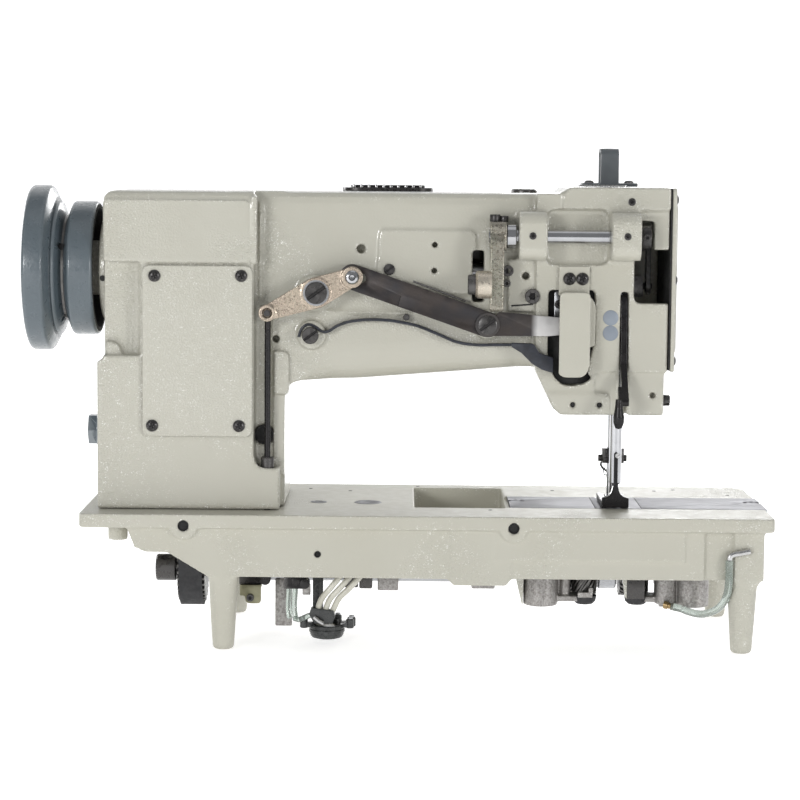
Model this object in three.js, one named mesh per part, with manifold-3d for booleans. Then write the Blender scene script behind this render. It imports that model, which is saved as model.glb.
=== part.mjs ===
// Flat-bed double-needle walking-foot sewing machine for leather, out of its table, on its four legs.
// Millimetres. +X runs from the handwheel to the needles, +Y towards the operator, +Z up.
// The origin is the centre of the footprint, on the surface that the legs stand on.

import * as THREE from 'three';
import { mergeVertices } from 'three/addons/utils/BufferGeometryUtils.js';
import Module from 'manifold-3d';

const wasm = await Module();
wasm.setup();

// ---------------------------------------------------------------- driving dimensions

const GAP = 0.3; // between pieces that rest on each other, and around turning shafts
const PAST = 1; // how far a cutting tool runs past the face that it opens

const BED = { left: -236.5, right: 280.5, rear: -89, front: 89, top: 103.3, rim: 10.5 };
const BED_UNDER = BED.top - BED.rim;
const SKIRT = { rear: -84, wall: 6, left: -196, right: 249, bottom: 56 };
const LEG_TOP_RADIUS = 10.3;
const LEG_FOOT_RADIUS = 8.2;
const HINGE_HOLES = { x: [-158.8, 86.2], z: 94.9, radius: 4 }; // for the table's hinge pins
const STRIP = { rear: -38, front: 24, thick: 2.7, end: 281.5 }; // the slide plates and needle plate
const POCKET = { left: 13, right: 83, rear: -40, front: 69, floor: 72, wall: 4 };

const COLUMN = { left: -225.5, right: -86, rear: -63, front: 51, base: BED.top + GAP };
const COLUMN_REAR_EDGE = -108.5; // right edge of the thick rear part, beside the lift rod
const ARM = { rear: -45, front: 45, top: 342 };
const HEAD = { left: 102, right: 202, rear: -52, front: 52, bottom: 176, top: 347 };

const SHAFT = { y: -5, z: 281.8, radius: 8 }; // upper shaft
const LOWER = { y: 22, z: 45, radius: 7 }; // lower shaft
const PULLEY = { left: -171.5, right: -150.5, radius: 26 };
const BELT_THICK = 3;
const WHEEL_RADIUS = 63;

const BAR_X = 165.5; // the plane of needle bar, vibrating bar and presser bar
const NEEDLE_BAR = { y: -7, radius: 4 };
const VIBRATING_BAR = { y: -19.3, radius: 3.6 };
const PRESSER_BAR = { y: -32.5, radius: 4.75 };
const NEEDLE_GAUGE = 6.4; // between the two needles
const NEEDLE_RADIUS = 0.8;
const FRAME_PIVOT = { y: -7, z: 322, radius: 4 };

const HOOK = { offset: 20.1, radius: 15.5, shaft: 5, gear: 19, pinion: 9.7, gearWidth: 22 };
const HOOK_X = [BAR_X - HOOK.offset, BAR_X + HOOK.offset];

const ROCKER = { y: -58, z: 310, radius: 5, left: 66, right: 186.5 }; // walking-foot shaft
const ROCKER_ARM = 38; // end crank, from the shaft to the link that drives the vibrating bar
const CRANK_PIVOT = [-62.1, 267]; // bell crank, as x and z
const CRANK_LEFT = [-98.5, 251.6];
const CRANK_RIGHT = [-35.4, 278.8];
const LEVER_PIVOT = [66, 243.9]; // long lifting lever
const CRANK_Y = [-65.5, -59.5];
const LEVER_Y = [-58, -53];
const LIFT_ROD = { y: -55, radius: 2.8 };
const LIFTER_PIVOT = { y: -46.5, z: 262 }; // hand lifter
const SPRING_ANCHOR = [-66.6, 234.5]; // leaf spring, as x and z
const TENSION_X = 134;
const TENSION_Z = [281, 318];

// ---------------------------------------------------------------- shapes

// A closed solid from a three.js geometry, whichever way its triangles were wound.
function solid(geometry) {
  const bare = geometry.clone();
  bare.deleteAttribute('normal');
  bare.deleteAttribute('uv');
  const merged = mergeVertices(bare, 1e-4);
  const position = merged.attributes.position;
  const triangles = [];
  let volume = 0;
  const corner = [new THREE.Vector3(), new THREE.Vector3(), new THREE.Vector3()];
  for (let i = 0; i < merged.index.count; i += 3) {
    const [a, b, c] = [0, 1, 2].map((k) => merged.index.getX(i + k));
    if (a === b || b === c || c === a) continue;
    [a, b, c].forEach((index, k) => corner[k].fromBufferAttribute(position, index));
    volume += corner[0].dot(corner[1].clone().cross(corner[2]));
    triangles.push([a, b, c]);
  }
  const triVerts = new Uint32Array(triangles.flatMap(([a, b, c]) => (volume > 0 ? [a, b, c] : [a, c, b])));
  const vertProperties = new Float32Array(position.array);
  return new wasm.Manifold(new wasm.Mesh({ numProp: 3, vertProperties, triVerts }));
}

const join = (...solids) => solids.reduce((whole, piece) => whole.add(piece));
const cut = (body, ...tools) => tools.reduce((rest, tool) => rest.subtract(tool), body);
const common = (a, b) => a.intersect(b);

function box(x0, x1, y0, y1, z0, z1) {
  const geometry = new THREE.BoxGeometry(x1 - x0, y1 - y0, z1 - z0);
  geometry.translate((x0 + x1) / 2, (y0 + y1) / 2, (z0 + z1) / 2);
  return solid(geometry);
}

// A closed outline from corners [a, b] or [a, b, radius]; a radius rounds its corner.
function outline(corners, steps = 3) {
  const points = corners.flatMap(([a, b, radius = 0], i) => {
    const here = new THREE.Vector2(a, b);
    if (radius === 0) return [here];
    const toward = (other) => new THREE.Vector2(other[0], other[1]).sub(here).normalize();
    const back = toward(corners.at(i - 1));
    const ahead = toward(corners[(i + 1) % corners.length]);
    const reach = radius / Math.tan(Math.acos(THREE.MathUtils.clamp(back.dot(ahead), -1, 1)) / 2);
    const from = here.clone().addScaledVector(back, reach);
    const to = here.clone().addScaledVector(ahead, reach);
    return new THREE.QuadraticBezierCurve(from, here, to).getPoints(steps);
  });
  return new THREE.Shape(points);
}

const rectangle = (a0, a1, b0, b1, radius = 0) =>
  outline([[a0, b0, radius], [a1, b0, radius], [a1, b1, radius], [a0, b1, radius]]);

function arcPoints(a, b, radius, from, to, steps) {
  return Array.from({ length: steps + 1 }, (_, i) => {
    const angle = from + ((to - from) * i) / steps;
    return new THREE.Vector2(a + radius * Math.cos(angle), b + radius * Math.sin(angle));
  });
}

const disc = (a, b, radius, sides = 12) =>
  new THREE.Shape(arcPoints(a, b, radius, 0, 2 * Math.PI * (1 - 1 / sides), sides - 1));

// The outline of a link: two round ends [a, b, radius] and the straight sides that touch both.
function linkOutline(one, two, steps = 5) {
  const [dx, dy] = [two[0] - one[0], two[1] - one[1]];
  const heading = Math.atan2(dy, dx);
  const spread = Math.acos((one[2] - two[2]) / Math.hypot(dx, dy));
  return new THREE.Shape([
    ...arcPoints(...two, heading - spread, heading + spread, steps),
    ...arcPoints(...one, heading + spread, heading + 2 * Math.PI - spread, steps),
  ]);
}

// How an extrusion's or a lathe's own axes lie in the part, for each axis that it can run along.
const BASIS = {
  x: new THREE.Matrix4().makeBasis(new THREE.Vector3(0, 1, 0), new THREE.Vector3(0, 0, 1),
    new THREE.Vector3(1, 0, 0)),
  y: new THREE.Matrix4().makeBasis(new THREE.Vector3(1, 0, 0), new THREE.Vector3(0, 0, 1),
    new THREE.Vector3(0, -1, 0)),
  z: new THREE.Matrix4(),
};

// Extrudes along x (outline in y, z), y (outline in x, z) or z (outline in x, y).
function extrude(shape, axis, from, to) {
  const geometry = new THREE.ExtrudeGeometry(shape, { depth: to - from, bevelEnabled: false });
  geometry.applyMatrix4(BASIS[axis]);
  if (axis === 'x') geometry.translate(from, 0, 0);
  if (axis === 'y') geometry.translate(0, to, 0);
  if (axis === 'z') geometry.translate(0, 0, from);
  return solid(geometry);
}

const rod = (axis, a, b, radius, from, to, sides = 12) => extrude(disc(a, b, radius, sides), axis, from, to);

// Turns a profile of [radius, distance along the axis] points about an axis through (a, b).
function turned(axis, a, b, profile, sides = 16) {
  const geometry = new THREE.LatheGeometry(profile.map(([r, t]) => new THREE.Vector2(r, t)), sides);
  geometry.rotateX(Math.PI / 2);
  if (axis === 'x') geometry.rotateY(Math.PI / 2);
  if (axis === 'y') geometry.rotateX(-Math.PI / 2);
  const place = { x: [0, a, b], y: [a, 0, b], z: [a, b, 0] }[axis];
  geometry.translate(...place);
  return solid(geometry);
}

function tube(points, radius, sides = 8, steps = 30) {
  const path = new THREE.CatmullRomCurve3(points.map((p) => new THREE.Vector3(...p)));
  const section = disc(0, 0, radius, sides);
  return solid(new THREE.ExtrudeGeometry(section, { steps, bevelEnabled: false, extrudePath: path }));
}

// ---------------------------------------------------------------- materials and bodies

const finish = (color, roughness, metalness) =>
  new THREE.MeshStandardMaterial({ color, roughness, metalness });

const ENAMEL = finish(0xc8c6ba, 0.35, 0);
const WHEEL_PAINT = finish(0x58656e, 0.4, 0);
const BLACK = finish(0x2b2a2c, 0.45, 0.6);
const CHROME = finish(0xd4d6d8, 0.12, 1);
const STEEL = finish(0xb9babd, 0.3, 1);
const ZINC_GOLD = finish(0xbca98a, 0.35, 0.9);
const CAST_ALUMINIUM = finish(0xa3a09d, 0.6, 0.7);
const BRASS = finish(0xc39a54, 0.3, 1);
const RUBBER = finish(0x1c1c1d, 0.8, 0);
const CLEAR_TUBE = finish(0xb9c4bf, 0.2, 0);
const WHITE_TUBE = finish(0xe6e2d3, 0.4, 0);
const GREY_PLASTIC = finish(0x5f666c, 0.4, 0);

const machine = new THREE.Group();

// Each rigid body is a group of its own; the pieces are named meshes in it.
function body() {
  const group = new THREE.Group();
  machine.add(group);
  return (name, material, shape) => {
    const { vertProperties, triVerts } = shape.getMesh();
    const geometry = new THREE.BufferGeometry();
    geometry.setAttribute('position', new THREE.BufferAttribute(new Float32Array(vertProperties), 3));
    geometry.setIndex(new THREE.BufferAttribute(new Uint32Array(triVerts), 1));
    geometry.computeVertexNormals();
    const mesh = new THREE.Mesh(geometry, material);
    mesh.name = name;
    group.add(mesh);
  };
}

const frame = body();

// ---------------------------------------------------------------- bed

// The skirt is a wall of one outline at the rear and again at the front.
const SKIRT_OUTLINE = outline([
  [-202, BED_UNDER + PAST], [-196, 79, 4], [-189, 74.4, 6], [-171, 74, 8], [-141, SKIRT.bottom, 6],
  [38, 55.5], [42, 51, 2], [81, 51, 2], [85, 56], [246, SKIRT.bottom, 3], [SKIRT.right, BED_UNDER + PAST],
]);

function leg(x, side, topX) {
  const y = side * 73;
  const edges = [y - 11, y + 11].sort((a, b) => a - b);
  const block = box(topX - 11, topX + 12, edges[0], edges[1], 33, BED_UNDER + PAST);
  const profile = [[0, 0], [LEG_FOOT_RADIUS, 0], [LEG_TOP_RADIUS, 34], [0, 34]];
  return join(block, turned('z', x, y, profile, 20));
}

function bedCasting() {
  const rim = extrude(outline([
    [BED.left, BED.rear, 5], [BED.right, BED.rear, 7], [BED.right, BED.front, 18], [BED.left, BED.front, 18],
  ]), 'z', BED_UNDER, BED.top);
  const walls = [SKIRT.rear, -SKIRT.rear - SKIRT.wall].map((y) =>
    extrude(SKIRT_OUTLINE, 'y', y, y + SKIRT.wall));
  const leftWall = box(SKIRT.left, SKIRT.left + SKIRT.wall, SKIRT.rear, -SKIRT.rear, 77, BED_UNDER + PAST);
  const rightWall = box(SKIRT.right - SKIRT.wall, SKIRT.right, SKIRT.rear, -SKIRT.rear, 57, BED_UNDER + PAST);
  const relief = box(72, 214, SKIRT.rear - 2, SKIRT.rear + PAST, 70, BED_UNDER + PAST);
  const legs = [-1, 1].flatMap((side) => [leg(-131, side, -131), leg(260, side, 261)]);
  const pegs = [-60, 60].map((y) => rod('z', -210.5, y, 7.5, 80, BED_UNDER + PAST));
  const pocketBox = box(POCKET.left - POCKET.wall, POCKET.right + POCKET.wall, POCKET.rear - POCKET.wall,
    POCKET.front + POCKET.wall, POCKET.floor - POCKET.wall, BED_UNDER + PAST);
  const shaftRibs = [-118, -10].map((x) => box(x, x + 10, LOWER.y - 14, LOWER.y + 14, 32, BED_UNDER + PAST));
  const hingeBosses = HINGE_HOLES.x.map((x) => rod('y', x, HINGE_HOLES.z, 10.6, BED.rear + 0.5, -76, 20));
  const cast = join(rim, ...walls, leftWall, rightWall, relief, ...legs, ...pegs, pocketBox, ...shaftRibs,
    ...hingeBosses);

  const topTrim = box(BED.left, BED.right, BED.rear, BED.front, BED.top, BED.top + 20);
  const hingeHoles = HINGE_HOLES.x.map((x) =>
    rod('y', x, HINGE_HOLES.z, HINGE_HOLES.radius, BED.rear - PAST, -72));
  const oilHole = rod('y', -59.3, 73.5, 2.3, SKIRT.rear - PAST, SKIRT.rear + SKIRT.wall + PAST, 12);
  const pocket = box(POCKET.left, POCKET.right, POCKET.rear, POCKET.front, POCKET.floor, BED.top + PAST);
  const beltHole = box(PULLEY.left - 5, PULLEY.right + 5, -32, 51, BED_UNDER - PAST, BED.top + PAST);
  const rodHole = box(-110, -94, -60, -50, BED_UNDER - PAST, BED.top + PAST);
  const shaftBore = rod('x', LOWER.y, LOWER.z, LOWER.radius + GAP, -130, 10, 20);
  const stripSeat = box(POCKET.right - PAST, BED.right + 5, STRIP.rear, STRIP.front,
    BED.top - STRIP.thick - GAP, BED.top + PAST);
  const hookOpening = box(102, 240, STRIP.rear + 2, STRIP.front - 2, BED_UNDER - PAST, BED.top + PAST);
  const endRecess = box(229, SKIRT.right + 0.8, SKIRT.rear - PAST, -81, SKIRT.bottom - 5, BED_UNDER);
  return cut(cast, topTrim, endRecess, ...hingeHoles, oilHole, pocket, beltHole, rodHole, shaftBore, stripSeat,
    hookOpening);
}

frame('bed_casting', ENAMEL, bedCasting());

const stripZ = [BED.top - STRIP.thick, BED.top];
const stripPiece = (x0, x1) => box(x0, x1, STRIP.rear + GAP, STRIP.front - GAP, ...stripZ);
const NEEDLE_PLATE = { left: 150.7, right: 185.7 };

const needleSlot = box(BAR_X - 4.6, BAR_X + 4.6, -22, 14, BED.top - 6, BED.top + PAST);
frame('needle_plate', STEEL, cut(stripPiece(NEEDLE_PLATE.left, NEEDLE_PLATE.right), needleSlot));

// ---------------------------------------------------------------- arm, column and head

function columnShape() {
  const leftSide = [[-220.8, ARM.top, 10], [-220.8, 217], [COLUMN.left, 214]];
  const rearPart = extrude(outline([
    [COLUMN.left, COLUMN.base], [-89, COLUMN.base], [-89, 135], [COLUMN_REAR_EDGE, 135, 10],
    [COLUMN_REAR_EDGE, ARM.top], ...leftSide,
  ]), 'y', COLUMN.rear, -40);
  const core = extrude(outline([
    [COLUMN.left, COLUMN.base], [COLUMN.right, COLUMN.base], [COLUMN.right, ARM.top], ...leftSide,
  ]), 'y', -42, COLUMN.front);
  const crossSection = extrude(outline([
    [COLUMN.rear, COLUMN.base], [COLUMN.front, COLUMN.base], [COLUMN.front, ARM.top, 12],
    [COLUMN.rear, ARM.top, 8],
  ]), 'x', COLUMN.left - PAST, COLUMN.right + PAST);
  const sideRecess = box(-240, -193, COLUMN.rear - PAST, -53, 219, 289);
  return cut(common(join(rearPart, core), crossSection), sideRecess);
}

function armShape() {
  const side = extrude(outline([
    [-96, 165], [COLUMN.right, 165], [COLUMN.right, 199.3, 14], [-30, 201], [52, 207.5], [124, 213.5],
    [124, ARM.top], [-96, ARM.top],
  ], 6), 'y', ARM.rear, ARM.front);
  const crossSection = extrude(outline([
    [ARM.rear, 150], [ARM.front, 150], [ARM.front, ARM.top, 14], [ARM.rear, ARM.top, 9],
  ]), 'x', -96, 124);
  return common(side, crossSection);
}

function headShape() {
  const side = extrude(outline([
    [HEAD.left, 210], [116, 181, 3], [122, HEAD.bottom, 3], [199.5, HEAD.bottom], [199.5, 209],
    [HEAD.right, 209], [HEAD.right, HEAD.top, 2], [127, HEAD.top, 4], [119, ARM.top], [HEAD.left, ARM.top],
  ]), 'y', HEAD.rear, HEAD.front);
  const plan = extrude(outline([
    [HEAD.left, HEAD.rear], [HEAD.right, HEAD.rear, 4], [HEAD.right, HEAD.front, 4], [HEAD.left, HEAD.front],
  ]), 'z', HEAD.bottom - PAST, HEAD.top + PAST);
  return common(side, plan);
}

// Bosses and pads on the rear of the arm and head.
function rearDetails() {
  const rockerBosses = [[88, 109], [156.6, 178.4]].map(([x0, x1]) =>
    extrude(rectangle(-76, -44, 292.8, 328.6, 5), 'x', x0, x1));
  const bracketPad = box(81.2, 112.8, -49, ARM.rear + PAST, 253.2, 293);
  const guidePad = extrude(outline([[-18, 266], [57, 266], [57, 311, 3], [53, 314], [-15, 314, 3]]), 'y',
    ARM.rear - 1.5, ARM.rear + PAST);
  const crankBoss = rod('y', ...CRANK_PIVOT, 12, CRANK_Y[1] + GAP, ARM.rear + PAST, 20);
  const leverBoss = rod('y', ...LEVER_PIVOT, 11, LEVER_Y[1] + GAP, ARM.rear + PAST, 20);
  const springBoss = rod('y', ...SPRING_ANCHOR, 5.5, -53.2, ARM.rear + PAST);
  return join(...rockerBosses, bracketPad, guidePad, crankBoss, leverBoss, springBoss);
}

// Ears on the front of the column that carry the reverse-feed lever.
const reverseEars = () => join(...[-119, -106].map((x) =>
  extrude(linkOutline([44, 170, 8], [62, 170, 8]), 'x', x, x + 5)));

function armCavities() {
  const well = box(-186, -136, -45, 46.5, COLUMN.base - PAST, 318);
  const coverOpening = box(-184, -117, COLUMN.rear - PAST, -40, 166, 279);
  const shaftTunnel = box(-205, 108, -25, 25, 256, 308);
  const leftBush = rod('x', SHAFT.y, SHAFT.z, 14, -245, -180, 20);
  const rightBush = rod('x', SHAFT.y, SHAFT.z, 12, 100, 130, 20);
  const frontOpening = box(-50, 30, 20, ARM.front + PAST, 256, 308);
  const crankSlot = box(54.6, 63.3, ARM.rear - 5, -20, 260, 299);
  const rodChannel = box(-110, -94, -60, -50, COLUMN.base - PAST, 137);
  const rodPort = rod('y', -101.5, 158.5, 7.5, -44, -24);
  return [well, coverOpening, shaftTunnel, leftBush, rightBush, frontOpening, crankSlot, rodChannel, rodPort];
}

function headCavities() {
  const main = box(122, HEAD.right + 5, -41, 28, 190, 312);
  const upper = box(154.6, HEAD.right + 5, -41, 28, 300, 335);
  const barSlot = box(152, 182, -27, 10, HEAD.bottom - PAST, 191);
  const presserBore = rod('z', BAR_X, PRESSER_BAR.y, PRESSER_BAR.radius + GAP, HEAD.bottom - PAST, 191, 20);
  const leverWindow = extrude(outline([[111.6, 222], [122, 199], [146.5, 199], [146.5, 270, 3], [111.6, 270, 3]]),
    'y', HEAD.rear - PAST, -38);
  const linkWindow = extrude(outline([[175.7, 260.5, 5], [205, 260.5], [205, 300.5], [175.7, 300.5, 2]]), 'y',
    HEAD.rear - PAST, -38);
  const endCrankSlot = box(179, 190, -55, -38, 296, 322);
  const lifterSlot = box(165.6, 171.6, HEAD.rear - PAST, -38, HEAD.bottom - PAST, 269);
  const takeUpSlot = box(149.3, 153.7, 20, HEAD.front + PAST, 268, 332);
  return [main, upper, barSlot, presserBore, leverWindow, linkWindow, endCrankSlot, lifterSlot, takeUpSlot];
}

function pivotHoles() {
  const rockerBore = rod('x', ROCKER.y, ROCKER.z, ROCKER.radius + GAP, 80, 190, 20);
  const screwHoles = [CRANK_PIVOT, LEVER_PIVOT].map(([x, z]) => rod('y', x, z, 4 + GAP, -70, -32, 12));
  const anchorHole = rod('y', ...SPRING_ANCHOR, 3 + GAP, -55, -34, 12);
  const reversePin = rod('x', 62, 170, 3 + GAP, -125, -95, 12);
  const dialBore = rod('y', -155, 205, 5 + GAP, 38, 60, 12);
  const tensionHoles = TENSION_Z.map((z) => rod('y', TENSION_X, z, 3 + GAP, 40, 60, 12));
  return [rockerBore, ...screwHoles, anchorHole, reversePin, dialBore, ...tensionHoles];
}

function armCasting() {
  const bushBoss = rod('x', SHAFT.y, SHAFT.z, 21, -238, -215, 24);
  const cast = join(columnShape(), armShape(), headShape(), rearDetails(), reverseEars(), bushBoss);
  const hollow = cut(cast, ...armCavities(), ...headCavities(), ...pivotHoles());
  const framePin = rod('x', FRAME_PIVOT.y, FRAME_PIVOT.z, FRAME_PIVOT.radius, 148, 160.8);
  const springStud = rod('y', -18.9, 241, 2.2, -52, ARM.rear + PAST, 12);
  return join(hollow, framePin, springStud);
}

frame('arm_casting', ENAMEL, armCasting());

// ---------------------------------------------------------------- covers, caps and plugs

frame('rear_cover_plate', ENAMEL,
  extrude(rectangle(-191.3, -109.4, 158.9, 286.6, 6), 'y', COLUMN.rear - GAP - 2.7, COLUMN.rear - GAP));

function faceCover() {
  const plate = extrude(outline([[-52, 209, 3], [52, 209, 3], [52, 347, 6], [-52, 347, 6]]), 'x', 202.6, 206.8);
  return join(plate, extrude(rectangle(-40, 40, 222, 335, 8), 'x', 206, 209));
}
frame('face_cover', ENAMEL, faceCover());

frame('front_cover', ENAMEL,
  extrude(rectangle(-62, 42, 244, 322, 8), 'y', ARM.front + GAP, ARM.front + GAP + 3));

// A flat flange with a box below it, open to the casting and to the side where the lever comes in.
function leverGuard() {
  const flange = box(119, 142, HEAD.rear - GAP - 2.2, HEAD.rear - GAP, 266, 288);
  const cover = extrude(rectangle(119, 142, 205.7, 269, 4), 'y', -68, HEAD.rear - GAP);
  return join(flange, cut(cover, box(110, 139.8, -66, HEAD.rear, 208, 266.8)));
}
frame('lever_guard', ENAMEL, leverGuard());

// A strap bent into an arch over the top of the head, on a flat foot.
function guideArch() {
  const foot = box(138.5, 181, -12, 8, HEAD.top + GAP, 350);
  const arch = extrude(outline([[-12, 348], [8, 348], [8, 376.3, 6], [-12, 376.3, 6]]), 'x', 152.4, 166.4);
  const eye = extrude(outline([[-9, 350], [5, 350], [5, 373.3, 4], [-9, 373.3, 4]]), 'x', 150, 170);
  return cut(join(foot, arch), eye);
}
frame('thread_guide_arch', GREY_PLASTIC, guideArch());

frame('oval_cap', BLACK, join(
  extrude(rectangle(-44, 25, -24, 14, 15), 'z', ARM.top + GAP, 345),
  extrude(rectangle(-38, 19, -18, 8, 10), 'z', 344, 347),
));

frame('column_plug', WHEEL_PAINT,
  extrude(disc(0, 159, 12.4, 6), 'x', COLUMN.left - GAP - 6, COLUMN.left - GAP));

// ---------------------------------------------------------------- thread tension units

TENSION_Z.forEach((z, i) => {
  const profile = [
    [0, 41], [3, 41], [3, 52.5], [9, 52.5], [9, 55], [14.5, 56.5], [14.5, 58], [11, 59], [14.5, 60],
    [14.5, 61.5], [8, 63], [5.5, 63.5], [5.5, 71], [3, 71], [3, 84], [0, 84],
  ];
  frame(`tension_unit_${i + 1}`, CHROME, turned('y', TENSION_X, z, profile, 12));
  const nut = [[3 + GAP, 72], [8.5, 72], [9, 73], [9, 79], [7, 81], [3 + GAP, 81], [3 + GAP, 72]];
  body()(`tension_nut_${i + 1}`, CHROME, turned('y', TENSION_X, z, nut, 12));
});

// ---------------------------------------------------------------- upper shaft and handwheel

const drive = body();

const wheelProfile = [
  [SHAFT.radius + GAP, -277], [18, -277], [20, -271], [53, -271], [56, -280], [58.5, -281.5],
  [61.5, -281.5], [WHEEL_RADIUS, -279.5], [WHEEL_RADIUS, -268.5], [61.5, -267], [52, -262], [51.5, -259.5],
  [40, -257], [40, -253], [51, -250], [51, -226], [49.5, -224], [46, -224], [46, -245], [14, -247],
  [14, -241], [SHAFT.radius + GAP, -241], [SHAFT.radius + GAP, -277],
];
drive('handwheel', WHEEL_PAINT, turned('x', SHAFT.y, SHAFT.z, wheelProfile, 36));

function mainShaft() {
  const shaft = rod('x', SHAFT.y, SHAFT.z, SHAFT.radius, -279, 126, 20);
  const crankDisc = rod('x', SHAFT.y, SHAFT.z, 20, 124, 135, 24);
  const crankPin = rod('x', SHAFT.y, SHAFT.z - 15, 4, 134, 146);
  return join(shaft, crankDisc, crankPin);
}
drive('main_shaft', STEEL, mainShaft());

function pulley(y, z, bore) {
  const profile = [
    [bore + GAP, PULLEY.left], [PULLEY.radius, PULLEY.left], [PULLEY.radius, PULLEY.right],
    [bore + GAP, PULLEY.right], [bore + GAP, PULLEY.left],
  ];
  return turned('x', y, z, profile, 24);
}
drive('upper_pulley', CAST_ALUMINIUM, pulley(SHAFT.y, SHAFT.z, SHAFT.radius));

// Both pulleys have one radius, so each side of the belt is a straight line between them.
function timingBelt() {
  const loop = (radius, x0, x1) => extrude(
    linkOutline([LOWER.y, LOWER.z, radius], [SHAFT.y, SHAFT.z, radius], 12), 'x', x0, x1);
  const inner = PULLEY.radius + GAP;
  return cut(loop(inner + BELT_THICK, PULLEY.left + 1.5, PULLEY.right - 1.5),
    loop(inner, PULLEY.left, PULLEY.right));
}
frame('timing_belt', RUBBER, timingBelt());

const bushProfile = [
  [SHAFT.radius + GAP, -239], [13.7, -239], [13.7, -207], [SHAFT.radius + GAP, -207],
  [SHAFT.radius + GAP, -239],
];
frame('main_bush', BRASS, turned('x', SHAFT.y, SHAFT.z, bushProfile, 20));

// ---------------------------------------------------------------- lower shaft and hooks

const lowerDrive = body();

function lowerShaft() {
  const collar = rod('x', LOWER.y, LOWER.z, 10.5, -184, -172, 20);
  return join(rod('x', LOWER.y, LOWER.z, LOWER.radius, -180, 222, 20), collar);
}
lowerDrive('lower_shaft', BLACK, lowerShaft());
lowerDrive('lower_pulley', BLACK, pulley(LOWER.y, LOWER.z, LOWER.radius));

const SIDES = ['left', 'right'];
SIDES.forEach((side, i) => {
  const x = HOOK_X[i];
  const half = HOOK.gearWidth / 2;
  const bore = LOWER.radius + GAP;
  const gear = [[bore, x - half], [HOOK.gear, x - half], [HOOK.gear, x + half], [bore, x + half],
    [bore, x - half]];
  lowerDrive(`drive_gear_${side}`, STEEL, turned('x', LOWER.y, LOWER.z, gear, 20));

  // The hook's shaft with its pinion and its open cup, and the bobbin case that stands still in the cup.
  const cup = [
    [0, 18], [HOOK.shaft, 18], [HOOK.shaft, LOWER.z - half], [HOOK.pinion, LOWER.z - half],
    [HOOK.pinion, LOWER.z + half], [HOOK.shaft, LOWER.z + half], [HOOK.shaft, 78], [HOOK.radius, 80],
    [HOOK.radius, 97], [13, 97], [13, 84], [0, 84],
  ];
  body()(`hook_${side}`, STEEL, turned('z', x, NEEDLE_BAR.y, cup, 20));
  const bobbinCase = [[0, 84.4], [12.6, 84.4], [12.6, 96], [10.5, 96], [10.5, 87], [3, 87], [3, 95], [0, 95]];
  frame(`bobbin_case_${side}`, STEEL, turned('z', x, NEEDLE_BAR.y, bobbinCase));

  // The saddle hangs from the bed, carries the lower shaft and holds the hook's shaft in two arms.
  const out = i === 0 ? -1 : 1; // away from the needles
  const span = (near, far) => [x + out * near, x + out * far].sort((a, b) => a - b);
  const far = i === 0 ? 47.5 : 56;
  const nearPost = i === 0 ? { at: 15.2, radius: 4.2 } : { at: 20, radius: 6.5 };
  const block = join(
    box(...span(18.5, far), -12, 40, 32, 72),
    box(...span(18.5, far), 26, 40, 60, BED_UNDER - GAP),
    rod('z', x + out * (far - 13.5), -12, 13.5, 20, 66, 20),
    rod('z', x + out * nearPost.at, -12, nearPost.radius, 24, 66),
  );
  const arms = [[60, 74], [20, 31]].map(([z0, z1]) => box(...span(-12, far - 10), -17, 3, z0, z1));
  const bores = [
    rod('x', LOWER.y, LOWER.z, bore, ...span(0, 70), 20),
    rod('z', x, NEEDLE_BAR.y, HOOK.shaft + GAP, 10, 80, 16),
  ];
  frame(`hook_saddle_${side}`, CAST_ALUMINIUM, cut(join(block, ...arms), ...bores));
});

// ---------------------------------------------------------------- slide plates and feed dog

body()('slide_plate_left', STEEL, stripPiece(86, NEEDLE_PLATE.left - GAP));
body()('slide_plate_right', STEEL, stripPiece(NEEDLE_PLATE.right + GAP, STRIP.end));

const needleX = [BAR_X - NEEDLE_GAUGE / 2, BAR_X + NEEDLE_GAUGE / 2];
const needleHoles = (z0, z1) => needleX.map((x) => rod('z', x, NEEDLE_BAR.y, 1.4, z0, z1, 10));

function feedDog() {
  const base = box(BAR_X - 4.3, BAR_X + 4.3, -17, 9, 93, 102.4);
  const teeth = Array.from({ length: 6 }, (_, i) => {
    const y = -16 + i * 4.2;
    return extrude(outline([[y, 102], [y + 3, 102], [y + 1.5, 103.6]]), 'x', BAR_X - 4.3, BAR_X + 4.3);
  });
  return cut(join(base, ...teeth), ...needleHoles(90, 105));
}
body()('feed_dog', STEEL, feedDog());

// ---------------------------------------------------------------- needle and presser bars

// A side plate with two bored lugs, hung on the pivot pin in the top of the head.
function needleFrame() {
  const plate = box(155.5, 159.5, -24, 0, 197, 326);
  const lugs = [[197, 211], [287, 299]].map(([z0, z1]) => box(155.5, 171.5, -24, 0, z0, z1));
  const hub = extrude(rectangle(-15, 1, 313, 330, 4), 'x', 155.5, 160.6);
  const bores = [
    rod('z', BAR_X, NEEDLE_BAR.y, NEEDLE_BAR.radius + GAP, 190, 306),
    rod('z', BAR_X, VIBRATING_BAR.y, VIBRATING_BAR.radius + GAP, 190, 306),
    rod('x', FRAME_PIVOT.y, FRAME_PIVOT.z, FRAME_PIVOT.radius + GAP, 150, 180),
  ];
  return cut(join(plate, ...lugs, hub), ...bores);
}
body()('needle_frame', STEEL, needleFrame());

const needleBody = body();
needleBody('needle_bar', CHROME, rod('z', BAR_X, NEEDLE_BAR.y, NEEDLE_BAR.radius, 146, 299));

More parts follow.
